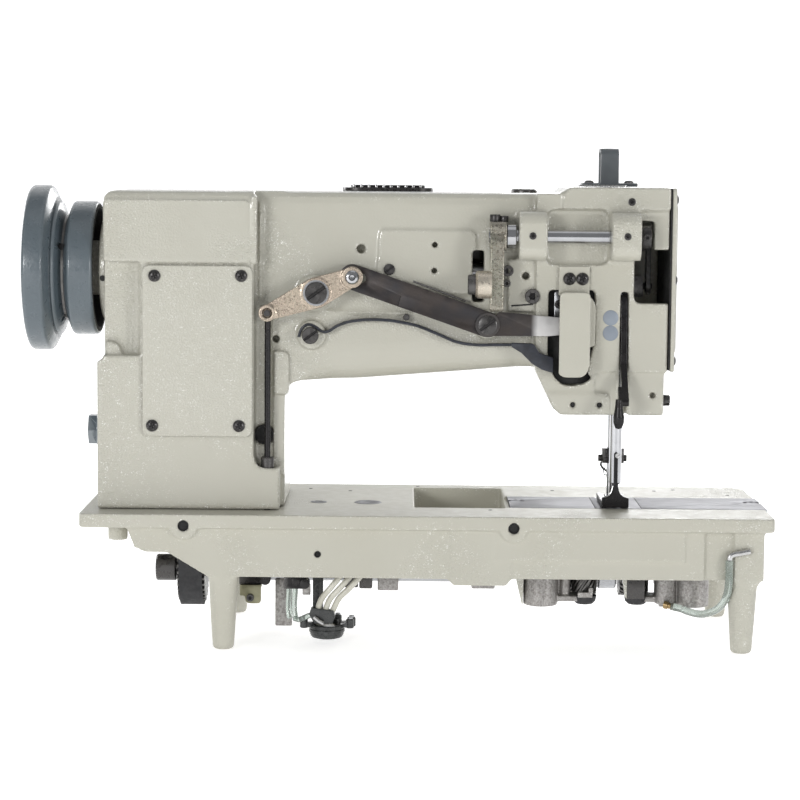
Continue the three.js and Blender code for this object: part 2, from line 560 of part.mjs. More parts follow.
function needleClamp() {
  const block = extrude(rectangle(BAR_X - 8, BAR_X + 8, -12, -2, 2), 'z', 127, 145.7);
  const screws = rod('x', -8, 138, 3, BAR_X - 10.5, BAR_X + 10.5, 12);
  const needles = needleX.map((x) => turned('z', x, NEEDLE_BAR.y,
    [[0, 98], [NEEDLE_RADIUS, 101], [NEEDLE_RADIUS, 128], [0, 128]], 8));
  return join(block, screws, ...needles);
}
needleBody('needle_clamp', BLACK, needleClamp());

const vibratingBody = body();
const DRIVE_PIN_Z = 272;

function vibratingBar() {
  const bar = rod('z', BAR_X, VIBRATING_BAR.y, VIBRATING_BAR.radius, 130, 299);
  const clamp = box(160.5, 185, -24.5, -13.5, 264, 280);
  const pin = rod('x', ROCKER.y + ROCKER_ARM, DRIVE_PIN_Z, 2.5, 184, 192, 12);
  return join(bar, clamp, pin);
}
vibratingBody('vibrating_bar', CHROME, vibratingBar());

function innerFoot() {
  const sole = box(BAR_X - 4.6, BAR_X + 4.6, -13, 7, 104, 108.5);
  const heel = box(BAR_X - 3, BAR_X + 3, -22.5, -11, 105, 110);
  const shank = box(BAR_X - 3, BAR_X + 3, -22.5, -16.5, 106, 129.7);
  return cut(join(sole, heel, shank), ...needleHoles(100, 112));
}
vibratingBody('inner_foot', BLACK, innerFoot());

const presserBody = body();
function presserBar() {
  const bar = rod('z', BAR_X, PRESSER_BAR.y, PRESSER_BAR.radius, 146, 298, 16);
  const clamp = box(158.5, 172.5, -39, -27.2, 255, 264);
  const lug = box(128, 160, -39, -31, 256, 264);
  return join(bar, clamp, lug);
}
presserBody('presser_bar', CHROME, presserBar());

function presserFoot() {
  const x = BAR_X;
  const web = extrude(outline([
    [x - 10.2, 104], [x + 10.2, 104], [x + 10.2, 110.8, 1], [x + 7, 111.5, 3], [x + 3.4, 121, 4],
    [x + 3.2, 145.7], [x - 3.2, 145.7], [x - 3.4, 121, 4], [x - 7, 111.5, 3], [x - 10.2, 110.8, 1],
  ]), 'y', -40, -33);
  const toes = [-1, 1].map((side) => {
    const edges = [x + side * 5.4, x + side * 10.2].sort((a, b) => a - b);
    return extrude(outline([[-34, 104], [8, 104], [13, 107], [12, 108.5], [-34, 108.5]]), 'x', ...edges);
  });
  const collar = rod('z', x, PRESSER_BAR.y, 5.2, 128, 145.7, 16);
  return join(web, collar, ...toes);
}
presserBody('presser_foot', BLACK, presserFoot());

// ---------------------------------------------------------------- walking-foot drive

const walking = body();

walking('walking_shaft', CHROME,
  rod('x', ROCKER.y, ROCKER.z, ROCKER.radius, ROCKER.left, ROCKER.right - 0.5, 20));

// A split clamp on the shaft's left end, with a flat arm behind it and a round pivot nut on the arm.
const CRANK_ARM_Y = -69.5;
function walkingCrank() {
  const clamp = extrude(rectangle(-69, -47, 299.5, 321, 5), 'x', 67, 79);
  const arm = extrude(linkOutline([CRANK_ARM_Y, 258, 3.5], [CRANK_ARM_Y + 3, 306, 6]), 'x', 67, 77);
  const nut = rod('x', CRANK_ARM_Y, 274.4, 10.3, 55, 68, 24);
  const collar = rod('x', CRANK_ARM_Y, 274.4, 7.5, 50.5, 56, 20);
  const collarRing = rod('x', ROCKER.y, ROCKER.z, 9, 78, 86.5, 20);
  const bore = rod('x', ROCKER.y, ROCKER.z, ROCKER.radius + GAP, 60, 90, 20);
  return cut(join(clamp, arm, nut, collar, collarRing), bore);
}
walking('walking_crank', ZINC_GOLD, walkingCrank());

const LINK_TOP_Z = 304;
function endCrank() {
  const arm = extrude(linkOutline([ROCKER.y, ROCKER.z, 8.6], [ROCKER.y + ROCKER_ARM, LINK_TOP_Z, 5]), 'x',
    180, ROCKER.right);
  const pin = rod('x', ROCKER.y + ROCKER_ARM, LINK_TOP_Z, 2.5, ROCKER.right - PAST, 192, 12);
  const bore = rod('x', ROCKER.y, ROCKER.z, ROCKER.radius + GAP, 170, 190, 20);
  return join(cut(arm, bore), pin);
}
walking('end_crank', BLACK, endCrank());

// The lower eye is wide, because the bar that it drives also rocks with the needle frame.
function vibratingLink() {
  const y = ROCKER.y + ROCKER_ARM;
  const bar = extrude(linkOutline([y, DRIVE_PIN_Z, 6.4], [y, LINK_TOP_Z, 4.6]), 'x', 187.2, 190.8);
  return cut(bar, rod('x', y, DRIVE_PIN_Z, 4.3, 180, 195, 16), rod('x', y, LINK_TOP_Z, 2.8, 180, 195, 12));
}
body()('vibrating_link', BLACK, vibratingLink());

// ---------------------------------------------------------------- presser lifting linkage

// The lever's far end reaches through the head's window to lift the presser bar's lug.
function liftLever() {
  const leftLimb = extrude(linkOutline([...CRANK_RIGHT, 9.5], [...LEVER_PIVOT, 9.5]), 'y', ...LEVER_Y);
  const rightLimb = extrude(outline([[62, 235.5], [112, 236.5], [139, 240], [139, 253], [72, 253.4]]), 'y',
    ...LEVER_Y);
  const nose = box(128, 139, LEVER_Y[0], -31.5, 241.5, 253);
  const slot = extrude(linkOutline([...CRANK_RIGHT, 3.7], [CRANK_RIGHT[0] + 6.7, CRANK_RIGHT[1] - 1, 3.7]), 'y',
    LEVER_Y[0] - PAST, LEVER_Y[1] + PAST);
  const bore = rod('y', ...LEVER_PIVOT, 4 + GAP, LEVER_Y[0] - PAST, LEVER_Y[1] + PAST);
  return cut(join(leftLimb, rightLimb, nose), slot, bore);
}
body()('lift_lever', BLACK, liftLever());

function bellCrank() {
  const halves = [[...CRANK_LEFT, 6.5], [...CRANK_RIGHT, 8]].map((end) =>
    extrude(linkOutline([...CRANK_PIVOT, 11.5], end), 'y', ...CRANK_Y));
  const leverPin = rod('y', ...CRANK_RIGHT, 3, -69, LEVER_Y[1], 12);
  const rodPin = rod('y', ...CRANK_LEFT, 2.5, -68, -51.5, 12);
  const bore = rod('y', ...CRANK_PIVOT, 4 + GAP, CRANK_Y[0] - PAST, CRANK_Y[1] + PAST);
  return join(cut(join(...halves), bore), leverPin, rodPin);
}
body()('bell_crank', ZINC_GOLD, bellCrank());

function liftRod() {
  const [x, z] = CRANK_LEFT;
  const eye = rod('y', x, z, 5.5, -58.7, -52, 16);
  const shank = rod('z', x, LIFT_ROD.y, LIFT_ROD.radius, 86, z - 3, 12);
  const collar = rod('z', x, LIFT_ROD.y, 5, 136, 147, 14);
  const bore = rod('y', x, z, 2.5 + GAP, -60, -50, 12);
  return cut(join(eye, shank, collar), bore);
}
body()('lift_rod', BLACK, liftRod());

// A slotted cheese-head screw whose shank is the pivot.
function pivotScrew([x, z], headFrom, radius, shank) {
  const head = rod('y', x, z, radius, headFrom - 4, headFrom, 20);
  const slot = box(x - radius - 1, x + radius + 1, headFrom - 5, headFrom - 2.6, z - 0.8, z + 0.8);
  return join(cut(head, slot), rod('y', x, z, shank, headFrom - 1, -34, 12));
}
frame('bell_crank_screw', BLACK, pivotScrew(CRANK_PIVOT, CRANK_Y[0] - GAP, 8, 4));
frame('lift_lever_screw', BLACK, pivotScrew(LEVER_PIVOT, LEVER_Y[0] - GAP, 8.3, 4));
frame('spring_anchor_screw', BLACK, pivotScrew(SPRING_ANCHOR, -53.5, 6.2, 3));

// A strip on edge that hooks over the anchor screw, rises over the stud and ends in a broad curved arm.
const SPRING_PATH = [
  [-75.6, 233], [-73.2, 239.6], [-68.4, 242.6], [-63, 240.8], [-58, 237.4], [-53, 237.6], [-46.5, 241.6],
  [-37.7, 244.8], [-25, 246.4], [-12, 246.4], [1, 244.8], [14.8, 241.7], [29.5, 235.8], [43.5, 230.2],
  [58, 228.2], [72, 228.4], [88, 228.6],
];
function leafSpring() {
  const half = 1;
  const path = new THREE.SplineCurve(SPRING_PATH.map(([x, z]) => new THREE.Vector2(x, z)));
  const steps = 44;
  const side = (sign) => Array.from({ length: steps + 1 }, (_, i) => {
    const along = path.getTangent(i / steps);
    return path.getPoint(i / steps).add(new THREE.Vector2(-along.y, along.x).multiplyScalar(sign * half));
  });
  const strip = extrude(new THREE.Shape([...side(1), ...side(-1).reverse()]), 'y', -52, -46);
  const arm = extrude(outline([
    [86, 230], [101, 230, 3], [105, 223, 3], [115.5, 219.5], [115.5, 208], [107, 210.5], [99.5, 215, 4],
    [91.5, 223, 4],
  ]), 'y', -57.5, -52.3);
  const neck = box(84, 92, -57.5, -46, 226, 230);
  return join(strip, arm, neck);
}
frame('leaf_spring', BLACK, leafSpring());

// A flat lever in the head's slot, with a drop-shaped knob below the head.
function handLifter() {
  const { y, z } = LIFTER_PIVOT;
  const upper = extrude(linkOutline([y, z, 4.6], [-52, 214, 3]), 'x', 166.2, 171);
  const middle = extrude(linkOutline([-52, 214, 3], [-66, 196, 3]), 'x', 166.2, 171);
  const lower = extrude(linkOutline([-66, 196, 3], [-74, 188, 3]), 'x', 163.5, 171);
  const knob = turned('z', 163.6, -75,
    [[0, 168], [2.6, 169], [4.1, 173], [4.2, 177], [3, 184], [2.6, 190.5], [0, 190.5]], 14);
  return join(upper, middle, lower, knob);
}
body()('hand_lifter', BLACK, handLifter());

// ---------------------------------------------------------------- take-up lever and controls

const TAKE_UP = { y: 14, z: 292 };
function takeUpLever() {
  const arm = extrude(linkOutline([TAKE_UP.y, TAKE_UP.z, 6], [76, 314, 4]), 'x', 149.9, 153.1);
  const hub = rod('x', TAKE_UP.y, TAKE_UP.z, 6, 148.5, 154.5, 16);
  return cut(join(arm, hub), rod('x', 76, 314, 1.8, 145, 160, 12));
}
body()('take_up_lever', CHROME, takeUpLever());

// A dial whose spindle runs in the column's front wall.
const dialProfile = [
  [0, 40], [5, 40], [5, 51.8], [24, 51.8], [25, 53.5], [25, 59], [22, 62], [10, 62], [9, 66], [0, 66],
];
body()('stitch_dial', BLACK, turned('y', -155, 205, dialProfile, 20));

// A flat lever between the two ears; its pin is part of it.
function reverseLever() {
  const hub = rod('x', 62, 170, 8, -113.7, -106.3, 20);
  const arm = extrude(outline([[60, 163], [68, 166], [87, 150, 2], [86, 144, 2], [80, 146], [62, 162]]), 'x',
    -113.7, -106.3);
  const paddle = extrude(rectangle(80, 88, 134, 152, 3), 'x', -121, -99);
  return join(hub, arm, paddle, rod('x', 62, 170, 3, -120, -100, 12));
}
body()('reverse_lever', BLACK, reverseLever());

// ---------------------------------------------------------------- lubrication

// A round screened pump on a post under the bed, with a side connector for its tubes.
function oilPump() {
  const ring = turned('z', -53.5, -42,
    [[0, 3], [15, 3], [19.5, 5], [19.5, 11], [16, 14], [9, 15], [7, 19], [0, 19]], 24);
  const lugs = [-20, 20].map((dx) => rod('z', -53.5 + dx * 0.9, -42, 5, 5, 12));
  const post = box(-64, -56, -46, -38, 12, BED_UNDER - GAP);
  const connector = rod('y', -57.5, 20, 5.2, -58, -36);
  return join(ring, ...lugs, post, connector);
}
frame('oil_pump', BLACK, oilPump());

// Three tubes side by side in one clip, from the pump's connector up into the bed.
function oilTubes() {
  const tubes = [0, 1, 2].map((i) => tube([
    [-55 + i * 2.4, -59.8 - i * 0.6, 26], [-51 + i * 2.6, -60.2 - i * 0.4, 35],
    [-44 + i * 3.4, -60, 45], [-36 + i * 4, -58, 58], [-32 + i * 4.2, -56, 88],
  ], 2, 6, 9));
  return join(...tubes, box(-57, -46.5, -63.5, -57.5, 26.5, 30));
}
frame('oil_tubes', WHITE_TUBE, oilTubes());

// The drain hose: a limp clear tube from the nipple on the right saddle to the pipe stub on the leg.
const HOSE_RADIUS = 2.9;
const HOSE_Y = -86; // where the hose climbs the skirt, clear of the leg
const HOSE_ROUTE = [
  [219.5, -31, 24.6], [224, -34, 23.3], [229, -39, 22.8], [234, -45, 23.8], [238.5, -52, 26.6],
  [242, -60, 30.4], [244.4, -68, 35.4], [245.8, -75.5, 41.2], [246.5, -81.5, 47.6], [246.7, -85, 54.4],
  [246.7, HOSE_Y, 61], [246.7, HOSE_Y, 66.5], [246.7, HOSE_Y, 72],
];
frame('drain_hose', CLEAR_TUBE, tube(HOSE_ROUTE, HOSE_RADIUS, 10, 24));

function hoseNipple() {
  const from = [211.5, -27.4, 27.2];
  const towards = [218.8, -30.7, 24.9];
  return tube([from, from.map((v, i) => (v + towards[i]) / 2), towards], 2.6, 8, 2);
}
frame('hose_nipple', BRASS, hoseNipple());

frame('pipe_stub', STEEL, tube([
  [246.7, HOSE_Y, 72.4], [247.2, HOSE_Y, 75], [249.7, HOSE_Y, 76.6], [255, HOSE_Y, 77.6],
  [262, HOSE_Y, 79],
], 1.8, 8, 8));

export default machine;
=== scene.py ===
"""Looks of the leather sewing machine: every visible piece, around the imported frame.

Lengths in this file are millimetres in the row frame (+X handwheel to needles, +Y towards the operator,
+Z up); shape() scales them to metres. Only the camera, the lamps and the floor are in metres.
"""

import math

import bmesh
import bpy
from mathutils import Matrix, Vector


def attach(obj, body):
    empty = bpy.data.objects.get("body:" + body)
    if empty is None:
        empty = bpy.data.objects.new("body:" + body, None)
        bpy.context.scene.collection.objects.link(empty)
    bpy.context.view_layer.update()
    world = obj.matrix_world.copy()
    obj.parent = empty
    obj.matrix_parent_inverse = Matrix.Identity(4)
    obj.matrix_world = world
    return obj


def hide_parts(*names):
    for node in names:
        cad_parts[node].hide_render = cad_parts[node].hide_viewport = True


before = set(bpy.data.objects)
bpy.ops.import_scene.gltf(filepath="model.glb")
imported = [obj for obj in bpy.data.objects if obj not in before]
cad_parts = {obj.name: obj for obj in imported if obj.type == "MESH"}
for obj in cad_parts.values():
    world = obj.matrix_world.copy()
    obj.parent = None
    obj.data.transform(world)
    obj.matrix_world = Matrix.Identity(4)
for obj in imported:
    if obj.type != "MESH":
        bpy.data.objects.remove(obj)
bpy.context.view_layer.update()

MM = 0.001

# ---------------------------------------------------------------- camera and light

CAMERA_PLACE = (0.001, -1.789, 0.356)
LENS = 104.4
PITCH = math.radians(5.58)
ROLL = math.radians(0.5)


def make_camera():
    data = bpy.data.cameras.new("camera")
    data.sensor_width = 36
    data.lens = LENS
    data.clip_end = 50
    camera = new_object("camera", data)
    ahead = Vector((0, math.cos(PITCH), -math.sin(PITCH)))
    level = Vector((1, 0, 0))
    above = level.cross(ahead)
    right = level * math.cos(ROLL) + above * math.sin(ROLL)
    up = above * math.cos(ROLL) - level * math.sin(ROLL)
    turn = Matrix((right, up, -ahead)).transposed().to_4x4()
    camera.matrix_world = Matrix.Translation(CAMERA_PLACE) @ turn
    bpy.context.scene.camera = camera


def area_light(name, place, target, width, height, watts):
    data = bpy.data.lights.new(name, "AREA")
    data.shape = "RECTANGLE"
    data.size = width
    data.size_y = height
    data.energy = watts
    light = new_object(name, data)
    light.location = place
    aim = Vector(target) - Vector(place)
    light.rotation_euler = aim.to_track_quat("-Z", "Y").to_euler()


def new_object(name, data):
    obj = bpy.data.objects.new(name, data)
    bpy.context.scene.collection.objects.link(obj)
    return obj


make_camera()

# ---------------------------------------------------------------- outlines and profiles

PLACE = {
    "x": lambda a, b, t: (t, a, b),
    "y": lambda a, b, t: (a, t, b),
    "z": lambda a, b, t: (a, b, t),
}


def outline(corners, steps=4):
    """A closed outline from corners (a, b) or (a, b, radius); a radius rounds its corner."""
    points = []
    for i, (a, b, *radius) in enumerate(corners):
        here = Vector((a, b))
        if not any(radius):
            points.append((a, b))
            continue
        back = (Vector(corners[i - 1][:2]) - here).normalized()
        ahead = (Vector(corners[(i + 1) % len(corners)][:2]) - here).normalized()
        reach = radius[0] / math.tan(back.angle(ahead) / 2)
        for t in (k / steps for k in range(steps + 1)):
            points.append(tuple(here + (back * (1 - t) ** 2 + ahead * t * t) * reach))
    return points


def rectangle(a0, a1, b0, b1, radius=0, steps=4, top=None):
    """A rectangle with rounded corners; top is the upper corners' radius where it differs."""
    top = radius if top is None else top
    return outline([(a0, b0, radius), (a1, b0, radius), (a1, b1, top), (a0, b1, top)], steps)


def arc(a, b, radius, start, end, steps):
    angles = [start + (end - start) * i / steps for i in range(steps + 1)]
    return [(a + radius * math.cos(t), b + radius * math.sin(t)) for t in angles]


def disc(a, b, radius, sides=40):
    """Evenly spaced places on a circle."""
    return arc(a, b, radius, 0, math.tau * (1 - 1 / sides), sides - 1)


def link_outline(one, two, steps=18):
    """Two round ends (a, b, radius) and the straight sides that touch both."""
    heading = math.atan2(two[1] - one[1], two[0] - one[0])
    spread = math.acos((one[2] - two[2]) / math.hypot(two[0] - one[0], two[1] - one[1]))
    far_end = arc(*two, heading - spread, heading + spread, steps)
    return far_end + arc(*one, heading + spread, heading + math.tau - spread, steps)


def peg(radius, start, end, near=0.0, far=0.0, bore=0.0):
    """The profile of a pin, or of a ring around a bore; near and far are its broken edges."""
    way = math.copysign(1, end - start)
    profile = [(bore, start), (radius - near, start)]
    if near:
        profile.append((radius, start + way * near))
    if far:
        profile.append((radius, end - way * far))
    profile += [(radius - far, end), (bore, end)]
    return profile + profile[:1] if bore else profile


def filleted(points, closed, fillet):
    """Rounds a profile's corners as far as their neighbours leave room."""
    result = []
    for i, point in enumerate(points):
        here = Vector(point)
        beside = [Vector(points[i - 1]), Vector(points[(i + 1) % len(points)])]
        reach = min(fillet, *((here - other).length * 0.45 for other in beside))
        if reach < 0.02 or (not closed and i in (0, len(points) - 1)):
            result.append(point)
            continue
        back, ahead = [(other - here).normalized() * reach for other in beside]
        result += [tuple(here + back * (1 - t) ** 2 + ahead * t * t) for t in (0, 0.33, 0.67, 1)]
    return result


def spline(points, per_span=6):
    """Points along a smooth curve through the given ones."""
    ends = [Vector(p) for p in points]
    ends = [ends[0] * 2 - ends[1]] + ends + [ends[-1] * 2 - ends[-2]]
    result = []
    for i in range(1, len(ends) - 2):
        p0, p1, p2, p3 = ends[i - 1 : i + 3]
        bend = p0 * 2 - p1 * 5 + p2 * 4 - p3
        for t in (k / per_span for k in range(per_span)):
            result.append((p1 * 2 + (p2 - p0) * t + bend * t * t + (p1 * 3 - p0 - p2 * 3 + p3) * t**3) / 2)
    return result + [ends[-2]]


# ---------------------------------------------------------------- solids


def shape(bm):
    """An object in metres from a bmesh in millimetres, with its faces turned outward."""
    bmesh.ops.recalc_face_normals(bm, faces=bm.faces)
    bmesh.ops.scale(bm, vec=(MM, MM, MM), verts=bm.verts)
    return mesh_object("shape", bm)


def mesh_object(name, bm):
    mesh = bpy.data.meshes.new(name)
    bm.to_mesh(mesh)
    bm.free()
    return new_object(name, mesh)


def skin(rings, closed=False):
    """Joins a row of rings of points with faces; a ring of one point is a tip, and open ends get caps."""
    bm = bmesh.new()
    rows = [[bm.verts.new(point) for point in ring] for ring in rings]
    for row in () if closed else (rows[0], rows[-1][::-1]):
        if len(row) > 2:
            bm.faces.new(row)
    sides = max(len(row) for row in rows)
    for one, two in zip(rows, rows[1:] + rows[:1] if closed else rows[1:]):
        for i in range(sides):
            j = (i + 1) % sides
            corners = [one[i % len(one)], one[j % len(one)], two[j % len(two)], two[i % len(two)]]
            corners = list(dict.fromkeys(corners))
            if len(corners) > 2:
                bm.faces.new(corners)
    return shape(bm)


def prism(points, axis, start, end):
    """An outline run along x (its points are y, z), y (x, z) or z (x, y)."""
    return skin([[PLACE[axis](a, b, t) for a, b in points] for t in (start, end)])


def block(x0, x1, y0, y1, z0, z1):
    return prism([(x0, y0), (x1, y0), (x1, y1), (x0, y1)], "z", z0, z1)


def rod(axis, a, b, radius, start, end, sides=40):
    return prism(disc(a, b, radius, sides), axis, start, end)


def turned(axis, a, b, profile, sides=64, fillet=0.0):
    """Turns a profile of (radius, distance along the axis) points about an axis through (a, b).

    A profile starts and ends on the axis, or closes on itself. fillet rounds its corners.
    """
    closed = profile[0] == profile[-1]
    points = profile[:-1] if closed else profile
    if fillet:
        points = filleted(points, closed, fillet)
    rings = [
        [PLACE[axis](x, y, t) for x, y in (disc(a, b, radius, sides) if radius > 1e-4 else [(a, b)])]
        for radius, t in points
    ]
    return skin(rings, closed)


def tube(path, radius, sides=16):
    """A round tube along a path; radius is one number, or one for each point."""
    points = [Vector(p) for p in path]
    radii = [radius] * len(points) if isinstance(radius, (int, float)) else radius
    across = None
    rings = []
    for i, point in enumerate(points):
        along = (points[min(i + 1, len(points) - 1)] - points[max(i - 1, 0)]).normalized()
        if across is None:
            across = along.orthogonal().normalized()
        across = (across - along * across.dot(along)).normalized()
        other = along.cross(across)
        rings.append([point + across * u + other * v for u, v in disc(0, 0, radii[i], sides)])
    return skin(rings)


def cad_copy(node):
    return new_object("shape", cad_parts[node].data.copy())


# ---------------------------------------------------------------- cutting, joining and finishing


def apply_modifiers(obj):
    mesh = bpy.data.meshes.new_from_object(obj.evaluated_get(bpy.context.evaluated_depsgraph_get()))
    obj.modifiers.clear()
    old = obj.data
    obj.data = mesh
    bpy.data.meshes.remove(old)
    return obj


def discard(obj):
    mesh = obj.data
    bpy.data.objects.remove(obj)
    bpy.data.meshes.remove(mesh)


def boolean(obj, others, operation):
    folder = bpy.data.collections.new("tools")
    bpy.context.scene.collection.children.link(folder)
    for other in others:
        folder.objects.link(other)
    modifier = obj.modifiers.new("boolean", "BOOLEAN")
    modifier.operand_type = "COLLECTION"
    modifier.collection = folder
    modifier.operation = operation
    modifier.solver = "EXACT"
    apply_modifiers(obj)
    for other in others:
        discard(other)
    bpy.data.collections.remove(folder)
    return obj


def join(first, *others):
    return boolean(first, others, "UNION")


def cut(obj, *tools):
    return boolean(obj, tools, "DIFFERENCE")


def merge(*objects):
    """Puts overlapping solids in one mesh; the remesh that follows makes them one."""
    bm = bmesh.new()
    for obj in objects:
        bm.from_mesh(obj.data)
        discard(obj)
    return mesh_object("shape", bm)


def soften(obj, voxel, rounds, keep):
    """Rounds every edge as casting or forging does: an even remesh, smoothed, then thinned."""
    remesh = obj.modifiers.new("remesh", "REMESH")
    remesh.mode = "VOXEL"
    remesh.voxel_size = voxel * MM
    smooth = obj.modifiers.new("smooth", "SMOOTH")
    smooth.factor = 0.5
    smooth.iterations = rounds
    obj.modifiers.new("thin", "DECIMATE").ratio = keep
    return apply_modifiers(obj)


def bevelled(obj, width, angle=35):
    """Breaks the sharp edges of a machined piece."""
    bevel = obj.modifiers.new("bevel", "BEVEL")
    bevel.width = width * MM
    bevel.segments = 2
    bevel.limit_method = "ANGLE"
    bevel.angle_limit = math.radians(angle)
    bevel.harden_normals = False
    return apply_modifiers(obj)


def piece(obj, name, look, body="frame", replaces=None, crease=32):
    """Finishes a visible piece: name, material, shading, and the body that it rides on."""
    material, slot = look
    obj.name = name
    obj.data.name = name
    obj.data.materials.clear()
    obj.data.materials.append(material)
    obj.data.shade_smooth()
    obj.data.set_sharp_from_angle(angle=math.radians(crease))
    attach(obj, body)
    if replaces:
        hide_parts(replaces)
    return obj


def cast(obj, name, look, body="frame", replaces=None):
    """Finishes a softened piece, which has no sharp edge at all."""
    return piece(obj, name, look, body, replaces, 180)


def numbered(name, objects, look, body="frame"):
    """Finishes a row of like pieces, numbered from 1."""
    for i, obj in enumerate(objects):
        piece(obj, f"{name}_{i + 1}", look, body)


# ---------------------------------------------------------------- materials


class Shader:
    """A Principled material built up from procedural layers, all in the object's own space."""

    def __init__(self, name, color, roughness, metallic=0.0):
        self.material = bpy.data.materials.new(name)
        self.material.use_nodes = True
        self.material.diffuse_color = (*color, 1)
        self.tree = self.material.node_tree
        self.surface = self.tree.nodes["Principled BSDF"]
        self.set("Base Color", (*color, 1)).set("Roughness", roughness).set("Metallic", metallic)
        self.color = None
        self.normal = None
        self.space = self.node("ShaderNodeTexCoord").outputs["Object"]

    def set(self, socket, value):
        self.surface.inputs[socket].default_value = value
        return self

    def coat(self, weight, roughness):
        return self.set("Coat Weight", weight).set("Coat Roughness", roughness)

    def node(self, kind, **values):
        node = self.tree.nodes.new(kind)
        for key, value in values.items():
            setattr(node, key, value)
        return node

    def link(self, output, node_input):
        self.tree.links.new(output, node_input)

    def noise(self, size, detail=2.0, stretch=None, low=0.35, high=0.65):
        """Noise with features about size millimetres across, as a value from 0 to 1."""
        vector = self.space
        if stretch:
            mapping = self.node("ShaderNodeMapping")
            mapping.inputs["Scale"].default_value = stretch
            self.link(self.space, mapping.inputs["Vector"])
            vector = mapping.outputs["Vector"]
        texture = self.node("ShaderNodeTexNoise")
        texture.inputs["Scale"].default_value = 1 / (size * MM)
        texture.inputs["Detail"].default_value = detail
        self.link(vector, texture.inputs["Vector"])
        return self.ranged(texture.outputs["Fac"], low, high)

    def cells(self, size, low, high):
        """Cells about size millimetres across: 1 at their middles, 0 at their edges."""
        texture = self.node("ShaderNodeTexVoronoi")
        texture.inputs["Scale"].default_value = 1 / (size * MM)
        self.link(self.space, texture.inputs["Vector"])
        return self.ranged(texture.outputs["Distance"], high, low)

    def ranged(self, value, low, high, out_low=0.0, out_high=1.0):
        node = self.node("ShaderNodeMapRange")
        for key, number in (("From Min", low), ("From Max", high), ("To Min", out_low), ("To Max", out_high)):
            node.inputs[key].default_value = number
        self.link(value, node.inputs["Value"])
        return node.outputs["Result"]

    def combine(self, operation, one, two):
        node = self.node("ShaderNodeMath", operation=operation)
        for value, socket in zip((one, two), node.inputs[:2]):
            if isinstance(value, (int, float)):
                socket.default_value = value
            else:
                self.link(value, socket)
        return node.outputs["Value"]

    def times(self, one, two):
        return self.combine("MULTIPLY", one, two)

    def most(self, first, *masks):
        """The largest of some masks."""
        for mask in masks:
            first = self.combine("MAXIMUM", first, mask)
        return first

    def along(self, axis, start, end):
        """0 before start and 1 after end, in millimetres along an axis."""
        split = self.node("ShaderNodeSeparateXYZ")
        self.link(self.space, split.inputs["Vector"])
        return self.ranged(split.outputs[axis], start * MM, end * MM)

    def edges(self, low, high):
        """1 on sharp outer edges, where chips of wear and painted edge highlights go."""
        return self.ranged(self.node("ShaderNodeNewGeometry").outputs["Pointiness"], low, high)

    def hollows(self, distance, low=0.25, high=0.95):
        """1 in creases and inside corners."""
        occlusion = self.node("ShaderNodeAmbientOcclusion", samples=6)
        occlusion.inputs["Distance"].default_value = distance * MM
        return self.ranged(occlusion.outputs["AO"], high, low)

    def tint(self, mask, color, amount=1.0):
        """Mixes a colour in where the mask is 1."""
        mix = self.node("ShaderNodeMix", data_type="RGBA")
        self.link(self.times(mask, amount), mix.inputs["Factor"])
        base, over, result = mix.inputs[6], mix.inputs[7], mix.outputs[2]
        if self.color is None:
            base.default_value = self.surface.inputs["Base Color"].default_value[:]
        else:
            self.link(self.color, base)
        over.default_value = (*color, 1)
        self.color = result
        self.link(result, self.surface.inputs["Base Color"])

    def rough(self, mask, low, high):
        self.link(self.ranged(mask, 0, 1, low, high), self.surface.inputs["Roughness"])

    def bump(self, height, strength, depth):
        """Raises the surface by depth millimetres where height is 1."""
        node = self.node("ShaderNodeBump")
        node.inputs["Strength"].default_value = strength
        node.inputs["Distance"].default_value = depth * MM
        self.link(height, node.inputs["Height"])
        if self.normal is not None:
            self.link(self.normal, node.inputs["Normal"])
        self.normal = node.outputs["Normal"]
        self.link(self.normal, self.surface.inputs["Normal"])

    def grain(self, size, detail, strength, depth, stretch=None):
        self.bump(self.noise(size, detail, stretch, 0, 1), strength, depth)


def shade(color, factor):
    return tuple(min(1, c * factor) for c in color)


def enamel(name, grit, peel, gloss=0.6):
    """Warm grey gloss enamel over cast iron: orange peel, grit by the edges, chips and dust, with painted
    shade in hollows, painted highlight on the edges and painted white glints.
    """
    s = Shader(name, (0.47, 0.457, 0.388), 0.36)
    s.tint(s.noise(90, 2), (0.5, 0.49, 0.425), 0.6)
    # painted shade: darker in creases and inside corners, from ambient occlusion
    s.tint(s.hollows(5), (0.25, 0.235, 0.195), 0.4)
    # painted highlight along the outer edges, partly worn paint
    s.tint(s.edges(0.54, 0.64), (0.6, 0.6, 0.55), 0.35)
    chips = s.times(s.edges(0.52, 0.58), s.noise(1.5, 2, low=0.6, high=0.64))
    s.tint(chips, (0.8, 0.8, 0.76), 0.75)
    dust = s.times(s.hollows(4, 0.3, 0.8), s.noise(1.1, 2, low=0.58, high=0.64))
    s.tint(dust, (0.1, 0.09, 0.075), 0.6)
    # zones of grit bump and of painted glints: rough edges, deep hollows, random patches, the column end (X
    # -150 to -225) and the right end (X 205 to 262)
    grit_and_glint_zones = s.most(
        s.edges(0.502, 0.52), s.hollows(10, 0.6, 0.97), s.noise(75, 1, low=0.54, high=0.64),
        s.along("X", -150, -225), s.along("X", 205, 262),
    )
    grains = s.noise(1.5, 1, low=0.35, high=0.75)
    painted_glints = s.times(s.noise(0.95, 1, low=0.63, high=0.68), s.noise(7, 2, low=0.42, high=0.6))
    s.grain(5.5, 2, 0.5, 0.3 * peel)
    s.grain(1.7, 1, 0.5, 0.2 * peel)
    s.bump(s.times(grains, grit_and_glint_zones), 1.0, 0.42 * grit)
    # painted glints: near-white specks tinted into the colour
    s.tint(s.times(painted_glints, grit_and_glint_zones), (0.9, 0.9, 0.87), 0.85 * grit)
    s.rough(s.noise(7, 2), 0.5 - 0.35 * gloss, 0.64 - 0.35 * gloss)
    return s.coat(gloss, 0.05).material


